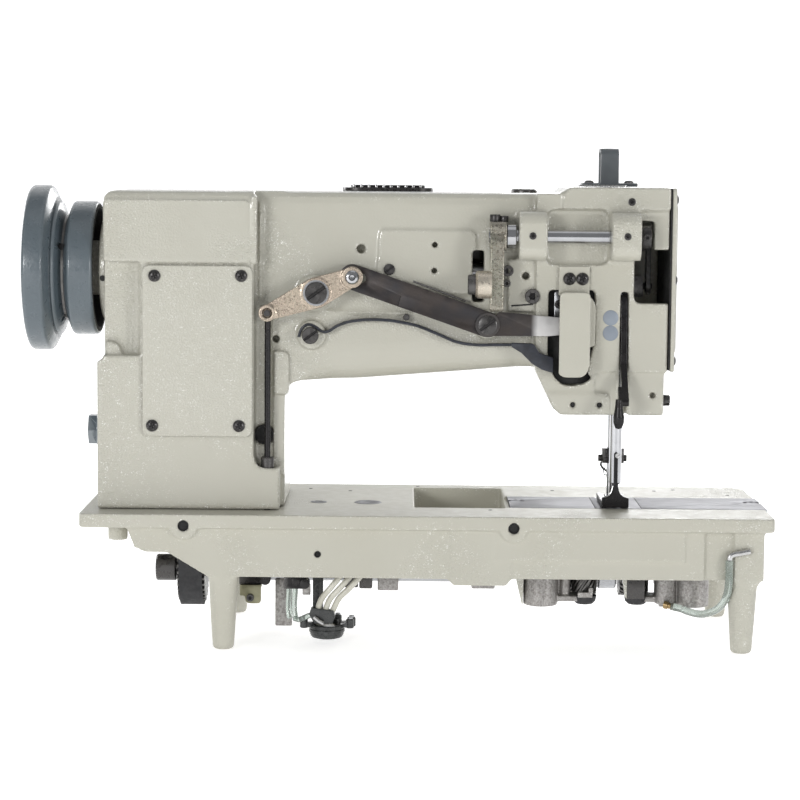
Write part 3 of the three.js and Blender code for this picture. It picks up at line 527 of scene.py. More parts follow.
def metal(name, color, dark, roughness, spread=0.12, grain=0.8, depth=0.03, brushed=False, edge=1.0):
    """Bare metal; edge is how much of its reflection it keeps at a grazing angle."""
    stretch = (0.06, 1, 1) if brushed else None
    s = Shader(name, color, roughness, 1.0).set("Specular Tint", (edge, edge, edge, 1))
    s.tint(s.noise(12, 3), dark, 0.45)
    # painted shade: darker in hollows and corners, from ambient occlusion
    s.tint(s.hollows(3), shade(dark, 0.35), 0.5)
    s.rough(s.noise(grain * 3, 3, stretch), roughness, roughness + spread)
    s.grain(grain, 2, 0.5, depth, stretch)
    return s.material


def black_oxide(name, brown, roughness, tone=1.0, bright_from=None):
    """Blued steel, browner where it is handled; bright_from gives where along X it is ground bright."""
    s = Shader(name, shade((0.038, 0.036, 0.039), tone), roughness, 0.55)
    s.tint(s.noise(16, 3), shade((0.056, 0.046, 0.042), tone), brown)
    s.tint(s.cells(1.6, 0.05, 0.14), (0.2, 0.19, 0.18), 0.25 * brown)
    if bright_from is not None:
        s.tint(s.along("X", bright_from, bright_from + 5), (0.62, 0.61, 0.6), 0.9)
    # painted highlight on the outer edges, partly rubbed-off oxide
    s.tint(s.edges(0.53, 0.62), (0.28, 0.27, 0.26), 0.6)
    s.rough(s.noise(4, 4), roughness - 0.08, roughness + 0.12)
    s.grain(0.9, 3, 0.5, 0.04)
    return s.material


def zinc_gold(name, color, green, pits):
    """Pale yellow zinc on a sand-cast crank: bright grain between dark pits, a green cast in places."""
    s = Shader(name, color, 0.34, 0.85)
    s.tint(s.noise(22, 2), green, 0.5)
    s.tint(s.noise(0.85, 2, low=0.42, high=0.62), shade(color, 1.5), 0.65)
    s.tint(s.cells(1.3, 0.02, 0.34), (0.16, 0.1, 0.055), pits)
    s.tint(s.noise(1.4, 3, low=0.56, high=0.66), (0.1, 0.08, 0.05), pits)
    # painted highlight: lighter outer edges
    s.tint(s.edges(0.53, 0.6), (0.85, 0.8, 0.7), 0.5)
    s.grain(0.9, 3, 0.8, 0.2)
    s.rough(s.noise(2, 3), 0.22, 0.48)
    return s.material


def cast_aluminium():
    s = Shader("cast_aluminium", (0.36, 0.345, 0.335), 0.5, 0.7)
    s.tint(s.noise(2, 4, low=0.46, high=0.62), (0.2, 0.185, 0.175), 0.5)
    s.tint(s.noise(1.2, 3, low=0.52, high=0.66), (0.56, 0.55, 0.53), 0.5)
    # painted shade: darker in hollows, from ambient occlusion
    s.tint(s.hollows(6), (0.1, 0.09, 0.08), 0.5)
    s.grain(1.6, 4, 0.9, 0.5)
    s.rough(s.noise(2, 3), 0.3, 0.6)
    return s.material


def wheel_paint():
    """Blue-grey hammered enamel."""
    s = Shader("wheel_paint", (0.086, 0.109, 0.125), 0.36)
    s.tint(s.noise(30, 3), (0.102, 0.127, 0.143), 0.5)
    # painted highlight: lighter outer edges
    s.tint(s.edges(0.51, 0.56), (0.34, 0.37, 0.39), 0.5)
    # painted glints: light specks at the cell middles
    s.tint(s.cells(2.6, 0.04, 0.16), (0.2, 0.235, 0.255), 0.35)
    s.grain(3.4, 2, 0.6, 0.34)
    s.grain(1.2, 2, 0.6, 0.14)
    s.rough(s.noise(5, 3), 0.26, 0.42)
    return s.coat(0.35, 0.1).material


def soft_black(name, color, roughness):
    s = Shader(name, color, roughness)
    s.tint(s.noise(5, 3), shade(color, 2.4), 0.6)
    # painted highlight: lighter outer edges
    s.tint(s.edges(0.53, 0.62), shade(color, 5), 0.5)
    s.grain(0.7, 2, 0.5, 0.05)
    s.rough(s.noise(3, 2), roughness - 0.08, roughness + 0.1)
    return s.material


def plastic(name, color, tint, roughness, grain):
    s = Shader(name, color, roughness)
    s.tint(s.noise(14, 2), tint, 0.6)
    # painted shade: darker in hollows, from ambient occlusion
    s.tint(s.hollows(4), shade(color, 0.6), 0.5)
    s.grain(grain, 2, 0.4, 0.05)
    s.rough(s.noise(6, 2), roughness - 0.06, roughness + 0.1)
    return s.coat(0.25, 0.15).material


def clear_tube():
    s = Shader("clear_tube", (0.6, 0.66, 0.62), 0.12)
    s.tint(s.noise(9, 2), (0.48, 0.55, 0.5), 0.7)
    s.rough(s.noise(4, 2), 0.06, 0.2)
    return s.set("Transmission Weight", 0.75).set("IOR", 1.45).material


ENAMEL = enamel("enamel", 1.0, 1.0), "enamel"
ENAMEL_SMOOTH = enamel("enamel_smooth", 0.5, 0.6), "enamel"
ENAMEL_BED = enamel("enamel_bed", 0.8, 0.8, 0.15), "enamel"
WHEEL = wheel_paint(), "wheel_paint"
BLACK = black_oxide("black_oxide", 0.3, 0.28, 0.45), "black_oxide"
LEVER_BLACK = black_oxide("black_lever", 1.0, 0.4, 0.9, 98.5), "black_oxide"
NAVY = soft_black("blued_spring", (0.014, 0.0155, 0.021), 0.42), "black_oxide"
# near-black used as painted shade in holes, slits, seams, hollow insides and on screws deep in their holes
PAINTED_SHADE = soft_black("painted_shade", (0.006, 0.006, 0.006), 0.7), "black_oxide"
CHROME = metal("chrome", (0.52, 0.525, 0.54), (0.4, 0.405, 0.42), 0.08, 0.08, 1.2, 0.004), "chrome"
PLATE = metal("plate_steel", (0.4, 0.4, 0.415), (0.3, 0.3, 0.31), 0.36, 0.12, 0.5, 0.01, True, 0.3), "steel"
STEEL = metal("ground_steel", (0.5, 0.51, 0.53), (0.36, 0.36, 0.37), 0.24, 0.14, 0.5, 0.01, True), "steel"
BRIGHT = metal("bright_steel", (0.62, 0.62, 0.62), (0.42, 0.41, 0.4), 0.2, 0.15, 0.8, 0.01), "steel"
GEAR = metal("gear_steel", (0.2, 0.195, 0.19), (0.08, 0.075, 0.07), 0.3, 0.2, 1.0, 0.02), "steel"
GOLD = zinc_gold("zinc_gold", (0.42, 0.35, 0.285), (0.38, 0.35, 0.27), 0.35), "zinc_gold"
GOLD_DARK = zinc_gold("zinc_gold_dark", (0.29, 0.27, 0.23), (0.25, 0.28, 0.215), 0.7), "zinc_gold"
CAST = cast_aluminium(), "cast_aluminium"
BRASS = metal("brass", (0.4, 0.29, 0.15), (0.3, 0.2, 0.1), 0.24, 0.15, 0.7, 0.01), "brass"
OLIVE = metal("olive_zinc", (0.3, 0.29, 0.2), (0.2, 0.19, 0.12), 0.3, 0.2, 1.0, 0.02), "zinc_gold"
PUMP_BLACK = soft_black("gloss_black_plastic", (0.02, 0.021, 0.021), 0.28), "rubber"
RUBBER = soft_black("rubber", (0.012, 0.012, 0.013), 0.75), "rubber"
CLEAR = clear_tube(), "clear_tube"
WHITE_TUBE = plastic("milky_tube", (0.58, 0.57, 0.5), (0.44, 0.42, 0.35), 0.32, 2), "white_tube"
GREY_PLASTIC = plastic("grey_plastic", (0.082, 0.092, 0.1), (0.1, 0.112, 0.12), 0.36, 1.2), "grey_plastic"
PLUG_GREY = plastic("plug_grey", (0.23, 0.262, 0.31), (0.26, 0.295, 0.34), 0.45, 1.5), "grey_plastic"
SIGHT_GLASS = plastic("sight_glass", (0.5, 0.42, 0.2), (0.62, 0.55, 0.3), 0.1, 4), "clear_tube"

# ---------------------------------------------------------------- drain hose

HOSE_RADIUS = 2.9
HOSE_Y = -86
HOSE_ROUTE = [
    (219.5, -31, 24.6), (224, -34, 23.3), (229, -39, 22.8), (234, -45, 23.8), (238.5, -52, 26.6),
    (242, -60, 30.4), (244.4, -68, 35.4), (245.8, -75.5, 41.2), (246.5, -81.5, 47.6), (246.7, -85, 54.4),
    (246.7, HOSE_Y, 61), (246.7, HOSE_Y, 66.5), (246.7, HOSE_Y, 72),
]


def make_hose():
    route = spline(HOSE_ROUTE, 3)
    data = bpy.data.curves.new("drain_tube", "CURVE")
    data.dimensions = "3D"
    data.bevel_depth = HOSE_RADIUS * MM
    data.bevel_resolution = 6
    data.use_fill_caps = True
    line = data.splines.new("POLY")
    line.points.add(len(route) - 1)
    for point, place in zip(line.points, route):
        point.co = (*(place * MM), 1)
    line.use_smooth = True
    hose = new_object("drain_tube", data)
    data.materials.append(CLEAR[0])
    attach(hose, "frame")
    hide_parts("drain_hose")
    length = sum((b - a).length for a, b in zip(route, route[1:]))
    start = [c * MM for c in HOSE_ROUTE[0]]


make_hose()

# ---------------------------------------------------------------- fasteners

SUNK = 0.4
DOME = [(0, 0), (1, 0), (1, 0.35), (0.82, 0.75), (0.5, 0.95), (0, 1)]
CHEESE = [(0, 0), (0.94, 0), (1, 0.08), (1, 0.86), (0.92, 1), (0, 1)]


def bar_outline(a, b, heading, start, end, half_width):
    """A straight bar that runs from start to end along a heading (in degrees) from (a, b)."""
    middle = Vector((a, b))
    along = Vector((math.cos(math.radians(heading)), math.sin(math.radians(heading))))
    side = Vector((-along.y, along.x)) * half_width
    return [middle + along * u + side * v for u, v in ((start, -1), (end, -1), (end, 1), (start, 1))]


def recess_tools(kind, axis, a, b, face, out, radius, height):
    """What is cut from a screw's head: a slot, a cross or a hexagon socket."""
    top = face + out * (height + 1)
    if kind == "hex":
        return [prism(disc(a, b, radius * 0.52, 6), axis, face + out * height * 0.35, top)]
    bottom = face + out * height * 0.55
    headings, reach, width = ((35,), 1.3, 0.16) if kind == "slot" else ((20, 110), 0.5, 0.13)
    return [
        prism(bar_outline(a, b, heading, -radius * reach, radius * reach, radius * width), axis, bottom, top)
        for heading in headings
    ]


def screw(name, axis, a, b, face, out, radius, height, kind="cross", look=BLACK, body="frame", replaces=None):
    """A screw head on a face: domed with a cross, cheese with a slot, or a cap with a socket."""
    profile = DOME if kind == "cross" else CHEESE
    points = [(radius * r, face + out * (height * t - SUNK * (t == 0))) for r, t in profile]
    tools = recess_tools(kind, axis, a, b, face, out, radius, height)
    piece(cut(turned(axis, a, b, points, 40), *tools), name, look, body, replaces)


def screws(name, axis, places, *how, **more):
    """A row of like screws, numbered from 1."""
    for i, (a, b) in enumerate(places):
        screw(f"{name}_{i + 1}", axis, a, b, *how, **more)


def set_screw(name, a, b, face, radius):
    """A socket set screw just below the mouth of its hole: a dark ring around a hexagon."""
    ring = [(0, face + 1), (radius, face + 1), (radius, face - 0.4), (radius * 0.86, face - 0.55),
            (0, face - 0.55)]
    socket = prism(disc(a, b, radius * 0.5, 6), "y", face - 1, face - 0.15)
    piece(cut(turned("y", a, b, ring, 32), socket), name, BLACK)


def tapped_hole(name, a, b, face, radius):
    """The mouth of an open threaded hole in a rear face: a thin near-black cup let into the surface, as
    painted shade.
    """
    cup = [(0, face + 2), (radius, face + 2), (radius, face - 0.15), (radius * 0.9, face - 0.15),
           (radius * 0.8, face + 1.2), (0, face + 1.2)]
    piece(turned("y", a, b, cup, 28), name, PAINTED_SHADE)


# ---------------------------------------------------------------- bed casting

BED_TOP = 103.3
LEGS = [(-130, y, 11) for y in (-73, 73)] + [(258.4, y, 13.6) for y in (-73, 73)]
BED_MARKS = ((-70, 60), (-38, 48), (16, 78), (70, -52), (-92, 20), (124, 60), (206, 62), (222, 70), (262, 40))


def leg(x, y, right):
    """A leg from a rounded square below the skirt to a round foot; right is how far its top reaches in +X."""
    rings = []
    for z, half, half_right, squareness in (
        (60, 11, right, 0.5), (55.5, 11, right, 0.6), (50, 10.7, 10.8, 0.8), (34, 10.1, 10.1, 0.95),
        (10, 8.6, 8.6, 1), (2.6, 8.1, 8.1, 1), (0.1, 7.2, 7.2, 1),
    ):
        ring = []
        for a, b in disc(0, 0, 1, 32):
            wide = half_right if a > 0 else half
            ring.append((x + wide * math.copysign(abs(a) ** squareness, a),
                         y + half * math.copysign(abs(b) ** squareness, b), z))
        rings.append(ring)
    return skin(rings)


def make_bed():
    bed = cut(cad_copy("bed_casting"), *[block(x - 16, x + 16, y - 14, y + 14, -1, 55.6) for x, y, _ in LEGS])
    pad = outline([(40, 94), (40, 53), (43, 51.4), (81, 51.4), (84.5, 56), (84.5, 94)])
    bed = merge(bed, prism(pad, "y", -85.4, -82), *[leg(*place) for place in LEGS])
    cast(soften(bed, 1.2, 4, 0.32), "bed", ENAMEL_BED, replaces="bed_casting")
    # painted shade: near-black discs for the holes in the bed top
    numbered("bed_hole", [rod("z", x, y, 1.5, BED_TOP - 1, BED_TOP + 0.12, 20) for x, y in BED_MARKS], PAINTED_SHADE)
    tapped_hole("hinge_bore_1", -158.8, 94.9, -88.4, 4.1)
    tapped_hole("hinge_bore_2", 86.2, 94.9, -88.4, 4.1)
    tapped_hole("oil_bore", -59.3, 73.5, -83.8, 2.4)
    plugs = []
    for x, radius in ((-61, 6.5), (-23, 10.5)):
        profile = [(0, -1), (radius, -1), (radius, 0.1), (radius - 0.6, 0.35), (radius * 0.55, 0.35),
                   (radius * 0.5, 0.1), (0, 0.1)]
        plugs.append(turned("z", x, -16, [(r, BED_TOP + z) for r, z in profile], 48))
    numbered("bed_plug", plugs, PLATE)
    screw("strip_screw", "z", 263, -8, BED_TOP - 0.9, 1, 4.2, 1, "slot", PLATE, "slide_plate_right")


# ---------------------------------------------------------------- arm casting

SHAFT = ("x", -5, 281.8)
PAD_HOLES = ((131, 183.8), (151.1, 183.7))
ARM_HOLES = (
    (191.1, 191.1, 2.3, 0), (-29.1, 299.3, 3.4, 8), (26.2, 302.8, 2.2, 6), (25.9, 283.4, 2.2, 6),
    (-92.9, 231, 2.8, 8), (94.6, 280.2, 2.9, 6), *((x, z, 2.2, 0) for x, z in PAD_HOLES),
)


def underside_tool():
    """Rounds the lower rear edge of the arm, from nothing at the column to full at the head."""
    rings = []
    for x, z, amount in (
        (-74, 199.5, 0.15), (-64, 199.8, 0.6), (-50, 200.4, 1), (-30, 201, 1), (52, 207.5, 1), (88, 210.6, 1),
        (101.8, 211.6, 0.4),
    ):
        deep, high = 13 * amount, 25 * amount
        curve = [(-45 + deep - deep * math.sin(w), z + high - high * math.cos(w))
                 for w in (math.pi / 16 * k for k in range(9))]
        corners = [(-50, z + high), (-50, z - 3), (-45 + deep, z - 3)]
        rings.append([(x, y, height) for y, height in corners + curve])
    return skin(rings)


def arm_additions():
    """Raised panels, ribs, rings and bosses of the arm's casting."""
    low_pad = outline([(121, 177), (158.8, 177), (158.8, 192.7, 5), (111, 192.7), (116.6, 181)])
    pad_bores = [rod("y", x, z, 2.2, -60, -40, 20) for x, z in PAD_HOLES]
    plates = [
        (rectangle(-219.5, -112, 289, 335, 4), -64.5, -61),
        (outline([(121.5, 330.6), (202, 330.6), (202, 347), (128, 347), (121.5, 341)]), -53.4, -50),
        (disc(-66, 234.6, 10.9), -50.5, -43),
        (disc(-63.4, 266.4, 13.6), -57, -43),
        (outline([(-80, 253.4), (9, 252.2), (9, 250.4), (-80, 251.6)]), -46, -43),
        (outline([(-94.5, 189.5), (-82.8, 189.5, 3), (-82.8, 222, 5), (-94.5, 222)]), -49, -41),
        ([(max(a, -219.4), b) for a, b in arc(-216.5, 220.6, 8.6, 0, math.pi, 16)], -58.5, -50),
        ([(147, 198), (147, 211)] + arc(134.5, 211, 12, 0, -math.pi / 2, 8), -51.8, -46),
        ([(142.3, 206), (148.5, 206), (148.5, 228), (145.8, 228), (142.3, 214.5)], -52, -44),
    ]
    cove = [(-192, -52), (-192, -60)] + arc(-200.5, -60, 8, 0, math.pi / 2, 8)
    bead = [(-104.6, -46.6, 262), (-104.9, -46.9, 290), (-104.4, -46.9, 326), (-104.8, -45.6, 334)]
    lumps = ((-192.6, -60.4, 222), (-192.4, -60.5, 240), (-192.7, -60.3, 262), (-108.6, -60.9, 300))
    return [
        *(prism(points, "y", start, end) for points, start, end in plates),
        cut(prism(low_pad, "y", -52.6, -49), *pad_bores),
        block(-110.4, -106.2, -64.8, -56, 288.5, 338.5),
        block(-94.5, -86.2, -46, -41, 128, 190),
        prism(outline([(-45.4, 256), (-38, 256), (-38, 341.8), (-45.4, 341.8, 9)]), "x", -109, -94),
        prism(cove, "z", 219, 289),
        turned(*SHAFT, [(0, -226.8), (38.6, -226.8), (40, -225.6), (40, -212), (0, -212)]),
        tube(bead, 1.5, 10),
        *(tube([(x, y, z), (x + 0.4, y, z + 5), (x - 0.3, y, z + 11)], 1.7, 8) for x, y, z in lumps),
    ]


def arm_cuts():
    """Recesses, holes, the end of the lever's slot and the rounding between the rocker's bosses."""
    cuts = [
        prism(rectangle(109.3, 156.3, 289, 330.2, 7), "y", -60, -48.8),
        prism(rectangle(178.7, 206, 299, 329.2, 2), "y", -60, -49.6),
        block(146.8, 206, -60, -50.4, 170, 208.8),
        underside_tool(),
        rod("y", -18.9, 241, 3, -60, -45, 20),
        rod("y", 129.4, 212.8, 14.8, -60, -39, 48),
        *(rod("y", x, z, radius, -60, -43 + depth, 20) for x, z, radius, depth in ARM_HOLES),
    ]
    for x0, x1 in ((87.4, 109.2), (156.4, 178.6)):
        for side in (-1, 1):
            edge = [(-65 - 11.2 * math.sin(w), 310.7 + side * (7 + 11.2 * math.cos(w)))
                    for w in (math.pi / 16 * k for k in range(9))]
            far = [(-79, 310.7 + side * 7), (-79, 310.7 + side * 20), (-65, 310.7 + side * 20)]
            cuts.append(prism(edge + far, "x", x0, x1))
    return cuts


def make_arm():
    arm = merge(cut(cad_copy("arm_casting"), *arm_cuts()), *arm_additions())
    cast(soften(arm, 1.15, 4, 0.3), "arm", ENAMEL, replaces="arm_casting")


make_bed()
make_arm()

# ---------------------------------------------------------------- covers, caps and plugs

REAR_PLATE_Y = -66
FACE_X = 206.8
FRONT_Y = 48.3
GUARD_Y = -54.4


def make_rear_cover():
    plate = prism(rectangle(-191.3, -109.4, 158.9, 286.6, 6, 8), "y", REAR_PLATE_Y, -63.3)
    piece(bevelled(plate, 0.9, 40), "rear_cover", ENAMEL_SMOOTH, replaces="rear_cover_plate", crease=18)
    places = ((-182.2, 278.8), (-117.7, 279.2), (-184, 166.9), (-119.2, 167.1))
    screws("rear_cover_screw", "y", places, REAR_PLATE_Y, -1, 4.5, 2.4)


def make_face_cover():
    face = join(
        prism(rectangle(-52, 52, 209, 347, 3, 6, 6), "x", 203.6, FACE_X),
        prism(rectangle(-40, 40, 222, 335, 8, 8), "x", 206, 209),
    )
    cast(soften(face, 0.8, 3, 0.3), "face_plate", ENAMEL_SMOOTH, replaces="face_cover")
    # painted shade: a near-black plate under the face cover's edge darkens its seam
    piece(prism(rectangle(-51, 51, 210, 346.4, 3, 6, 6), "x", 202.3, 203.5), "face_seam_shade", PAINTED_SHADE)
    places = ((-45, 217), (45, 217), (-45, 338), (45, 338), (-46, 278), (46, 278))
    screws("face_screw", "x", places, FACE_X, 1, 3.6, 1.8)
    screw("bar_stop_screw", "x", -44, 187, 199.6, 1, 4.2, 5, "slot")


def make_front_cover():
    front = prism(rectangle(-62, 42, 244, 322, 8, 8), "y", 45.3, FRONT_Y)
    piece(bevelled(front, 0.9, 40), "front_panel", ENAMEL_SMOOTH, replaces="front_cover", crease=18)
    places = ((-54, 252), (34, 252), (-54, 314), (34, 314))
    screws("front_panel_screw", "y", places, FRONT_Y, 1, 4.2, 2.2)


def make_guard():
    """The box cover over the lifting linkage, with the bracket, and a near-black sheet seen inside it as
    painted shade.
    """
    left = [(115.9, 204), (115.9, 214)] + arc(124.9, 213.3, 7.6, math.pi, 1.5 * math.pi, 8)
    right = [(142.6, 204), (142.6, 214)] + arc(133.6, 213.3, 7.6, 0, -math.pi / 2, 8)
    body = cut(cad_copy("lever_guard"), *[prism(corner, "y", -80, -50) for corner in (left, right)])
    cheek = outline([(140.6, 227), (146.2, 229), (146.6, 262, 12), (140.6, 266.8)])
    guard = soften(join(body, prism(cheek, "y", -60, -51)), 0.55, 5, 0.3)
    cast(guard, "guard", ENAMEL_SMOOTH, replaces="lever_guard")
    screws("guard_screw", "y", ((126.9, 278.6), (136.6, 278.6)), GUARD_Y, -1, 4.7, 2.6)
    bracket = prism(rectangle(116.4, 124, 249, 268.5, 1.5), "y", -45, -43)
    piece(bevelled(bracket, 0.4), "lifting_bracket", STEEL)
    screw("lifting_bracket_screw", "y", 120, 259, -45, -1, 3.4, 1.4, "hex")
    # painted shade: a near-black sheet inside the guard's window
    shade_sheet_outline = [(112.2, 199), (147, 199), (147, 269.5), (141.5, 269.5), (141.5, 218), (124.5, 218),
             (124.5, 269.5), (112.2, 269.5)]
    piece(prism(shade_sheet_outline, "y", -42.6, -41.6), "window_shade_sheet", PAINTED_SHADE)


def make_plugs():
    flange = [(0, -230.5), (12.4, -230.5), (13.4, -229.6), (13.4, -225.4), (0, -225.4)]
    plug = join(prism(disc(-20, 159, 12.4, 6), "x", -236.8, -228), turned("x", -20, 159, flange))
    piece(bevelled(plug, 0.7), "side_plug", WHEEL, replaces="column_plug")
    button = [(0, -50.5), (5.8, -50.5), (5.8, -52.15), (5.3, -52.45), (0, -52.5)]
    numbered("head_plug", [turned("y", 158.4, z, button, 48) for z in (249.5, 238)], PLUG_GREY)


def make_oil_caps():
    cap = join(
        prism(rectangle(-44, 25, -24, 14, 15, 8), "z", 342.3, 345),
        prism(rectangle(-38, 19, -18, 8, 10, 8), "z", 344.6, 347),
    )
    pitch = 5.6
    grooves = [block(-33 + i * pitch, -30.6 + i * pitch, -17, 7, 345.6, 349) for i in range(9)]
    piece(bevelled(cut(cap, *grooves), 0.4), "oil_filler", BLACK, replaces="oval_cap")
    ribs = [block(-36 + i * pitch, -34.2 + i * pitch, -19, -16.6, 344.6, 347.4) for i in range(10)]
    numbered("filler_rib", [bevelled(rib, 0.3) for rib in ribs], BRIGHT)
    cap = [(0, 341.5), (10, 341.5), (10, 343.6), (9, 344.8), (6, 345), (5.4, 344.2), (0, 344.2)]
    piece(turned("z", 95, 0, cap, 48), "oil_cap", BLACK)


def make_thread_arch():
    arch = cut(prism(rectangle(-12, 8, 348, 376.3, 0, 8, 6), "x", 152.4, 166.4),
               prism(rectangle(-9, 5, 350, 373.3, 0, 8, 4), "x", 140, 180))
    foot = prism(rectangle(138.5, 181, -12, 8, 2, 4), "z", 347.3, 350)
    piece(bevelled(join(arch, foot), 0.5), "guide_strap", GREY_PLASTIC, replaces="thread_guide_arch")
    screws("strap_screw", "z", ((144.5, -2), (175, -2)), 350, 1, 3.6, 2)
    piece(prism(rectangle(135, 172, -16.5, -12.4, 1), "z", 347.2, 348.6), "strap_plate", BRIGHT)


make_rear_cover()
make_face_cover()
make_front_cover()
make_guard()
make_plugs()
make_oil_caps()
make_thread_arch()

# ---------------------------------------------------------------- handwheel, upper shaft and belt

WHEEL_SCREW_ANGLES = (25, 115, 205, 297.5)
WHEEL_SCREW_X = -254.7
WHEEL_RIM = [
    (8.3, -277), (18, -277), (20, -271), (53, -271), (56, -280), (58.5, -281.5), (61.5, -281.5),
    (63, -279.5), (63, -267.5), (62, -265.8), (54.4, -261.9), (50.6, -262.4), (51.6, -260.6), (50.4, -258.8),
    (41.6, -255.6), (40, -254.8), (40, -253.5), (41, -253), (50.2, -249.2), (51, -247.8), (51, -232),
    (49.8, -230.4), (46, -230.4), (46, -245), (14, -247), (14, -241), (8.3, -241), (8.3, -277),
]
# near-black sheets inside the wheel's hollow are painted shade; the neck is steel
WHEEL_SHADE_AND_NECK = {
    "wheel_rim_shade": ([(45.7, -244.7), (45.7, -230.2), (48.8, -230.1), (48.8, -230.5), (46.1, -230.5),
                      (46.1, -244.7), (45.7, -244.7)], PAINTED_SHADE),
    "wheel_web_shade": ([(14.2, -245.6), (45.9, -243.6), (45.9, -244.4), (14.2, -246.6),
                          (14.2, -245.6)], PAINTED_SHADE),
    "wheel_neck": ([(39.4, -255.4), (40.4, -255), (40.4, -253.3), (44.8, -251.3), (44.4, -251.1),
                    (39.4, -253), (39.4, -255.4)], GEAR),
}


def wheel_pins(radius, start, end):
    """A pin in each of the wheel's screw holes, between two distances from the shaft."""
    pins = []
    for angle in WHEEL_SCREW_ANGLES:
        away = Vector((0, -math.cos(math.radians(angle)), math.sin(math.radians(angle))))
        middle = Vector((WHEEL_SCREW_X, *SHAFT[1:]))
        pins.append(tube([middle + away * start, middle + away * end], radius, 20))
    return pins


def make_handwheel():
    wheel = turned(*SHAFT, WHEEL_RIM, 144, 1.4)
    piece(cut(wheel, *wheel_pins(2.8, 33, 55)), "wheel", WHEEL, "drive", "handwheel")
    # the painted shade sheets and the steel neck
    for name, (profile, look) in WHEEL_SHADE_AND_NECK.items():
        piece(turned(*SHAFT, profile, 96), name, look, "drive")
    # painted shade: the screws deep in their holes are near-black
    numbered("wheel_screw", wheel_pins(2.6, 34, 40.5), PAINTED_SHADE, "drive")
    screw("wheel_end_screw", *SHAFT, -277.6, -1, 12, 3.4, "hex", BLACK, "drive")


def make_upper_shaft():
    _, y, z = SHAFT
    crank = [turned(*SHAFT, peg(20, 124, 135, 1, 1)), rod("x", y, z - 15, 4, 134, 146)]
    piece(join(rod(*SHAFT, 8, -277, 126, 64), *crank), "upper_shaft", STEEL, "drive", "main_shaft")
    piece(turned(*SHAFT, peg(13.7, -239, -207, 0.8, 0, 8.3)), "shaft_bush", BRASS, replaces="main_bush")


def toothed(axis, a, b, radius, depth, teeth, start, end, bore, twist=0.0, slices=1):
    """A toothed wheel along an axis; twist turns the teeth, as on a helical gear."""
    rings = []
    for step in (k / slices for k in range(slices + 1)):
        ring = []
        for i in range(teeth):
            for offset, r in ((-0.3, radius - depth), (-0.16, radius), (0.16, radius), (0.3, radius - depth)):
                w = math.tau * (i + offset) / teeth + twist * step
                t = start + (end - start) * step
                ring.append(PLACE[axis](a + r * math.cos(w), b + r * math.sin(w), t))
        rings.append(ring)
    return cut(skin(rings), rod(axis, a, b, bore, start - 1, end + 1, 48))


LOWER = ("x", 22, 45)


def make_pulleys():
    for name, axle, node, body, bore, look in (
        ("belt_wheel_upper", SHAFT, "upper_pulley", "drive", 8.3, CAST),
        ("belt_wheel_lower", LOWER, "lower_pulley", "lower_drive", 7.3, BLACK),
    ):
        piece(toothed(*axle, 26, 2, 32, -171.5, -150.5, bore), name, look, body, node)
    outer, inner = [link_outline((*LOWER[1:], r), (*SHAFT[1:], r), 40) for r in (29.2, 26.3)]
    belt = cut(prism(outer, "x", -170, -152), prism(inner, "x", -175, -145))
    piece(belt, "drive_belt", RUBBER, replaces="timing_belt")


make_handwheel()
make_upper_shaft()
make_pulleys()

# ---------------------------------------------------------------- lower shaft, hooks and saddles

BAR_X = 165.5
NEEDLE_Y = -7
HOOK_REACH = 20.1
SADDLE_TOP = 91.6
HOOK_CUP = [(0, 25), (4.4, 25), (5, 25.6), (5, 78), (12, 78.6), (15.5, 82), (15.5, 97), (14.6, 97.6),
            (13, 97), (13, 84), (0, 84)]
BOBBIN_CASE = [(0, 84.4), (12, 84.4), (12.6, 85), (12.6, 95.4), (12, 96), (10.5, 96), (10.5, 87), (3, 87),
               (3, 94.6), (2.6, 95), (0, 95)]
OIL_CUP = [(0, 25.2), (6.4, 25.2), (8.6, 27.4), (9.4, 31.6), (8.6, 31.6), (7.8, 28.2), (0, 26.4)]


def make_lower_shaft():
    _, y, z = LOWER
    collar = [(0, -190), (9.6, -190), (10.5, -189), (10.5, -175), (9.6, -174), (0, -174)]
    shaft = join(turned(*LOWER, peg(7, -180, 222, 0.6, 0.6), 48), turned(*LOWER, collar, 48))
    groove = tube([(-183, y - 4, z + 8), (-183, y - 14, z + 12)], 2.2)
    piece(cut(shaft, groove), "under_shaft", BLACK, "lower_drive", "lower_shaft")


def make_hook(side, out):
    x = BAR_X + out * HOOK_REACH
    gear = toothed(*LOWER, 19, 2, 26, x - 11, x + 11, 7.3, math.radians(52) * out, 8)
    piece(gear, f"helical_gear_{side}", GEAR, "lower_drive", f"drive_gear_{side}")
    pinion = toothed("z", x, NEEDLE_Y, 9.7, 1.6, 13, 34, 56, 4.9, math.radians(-95) * out, 10)
    piece(pinion, f"hook_pinion_{side}", GEAR, f"hook_{side}")
    window = block(x - 20, x + 20, NEEDLE_Y - 4, NEEDLE_Y + 4, 86.5, 93.5)
    cup = cut(turned("z", x, NEEDLE_Y, HOOK_CUP, 72, 0.3), window)
    piece(cup, f"rotary_hook_{side}", BRIGHT, f"hook_{side}", f"hook_{side}")
    case = turned("z", x, NEEDLE_Y, BOBBIN_CASE, 56)
    piece(case, f"bobbin_holder_{side}", CHROME, replaces=f"bobbin_case_{side}")


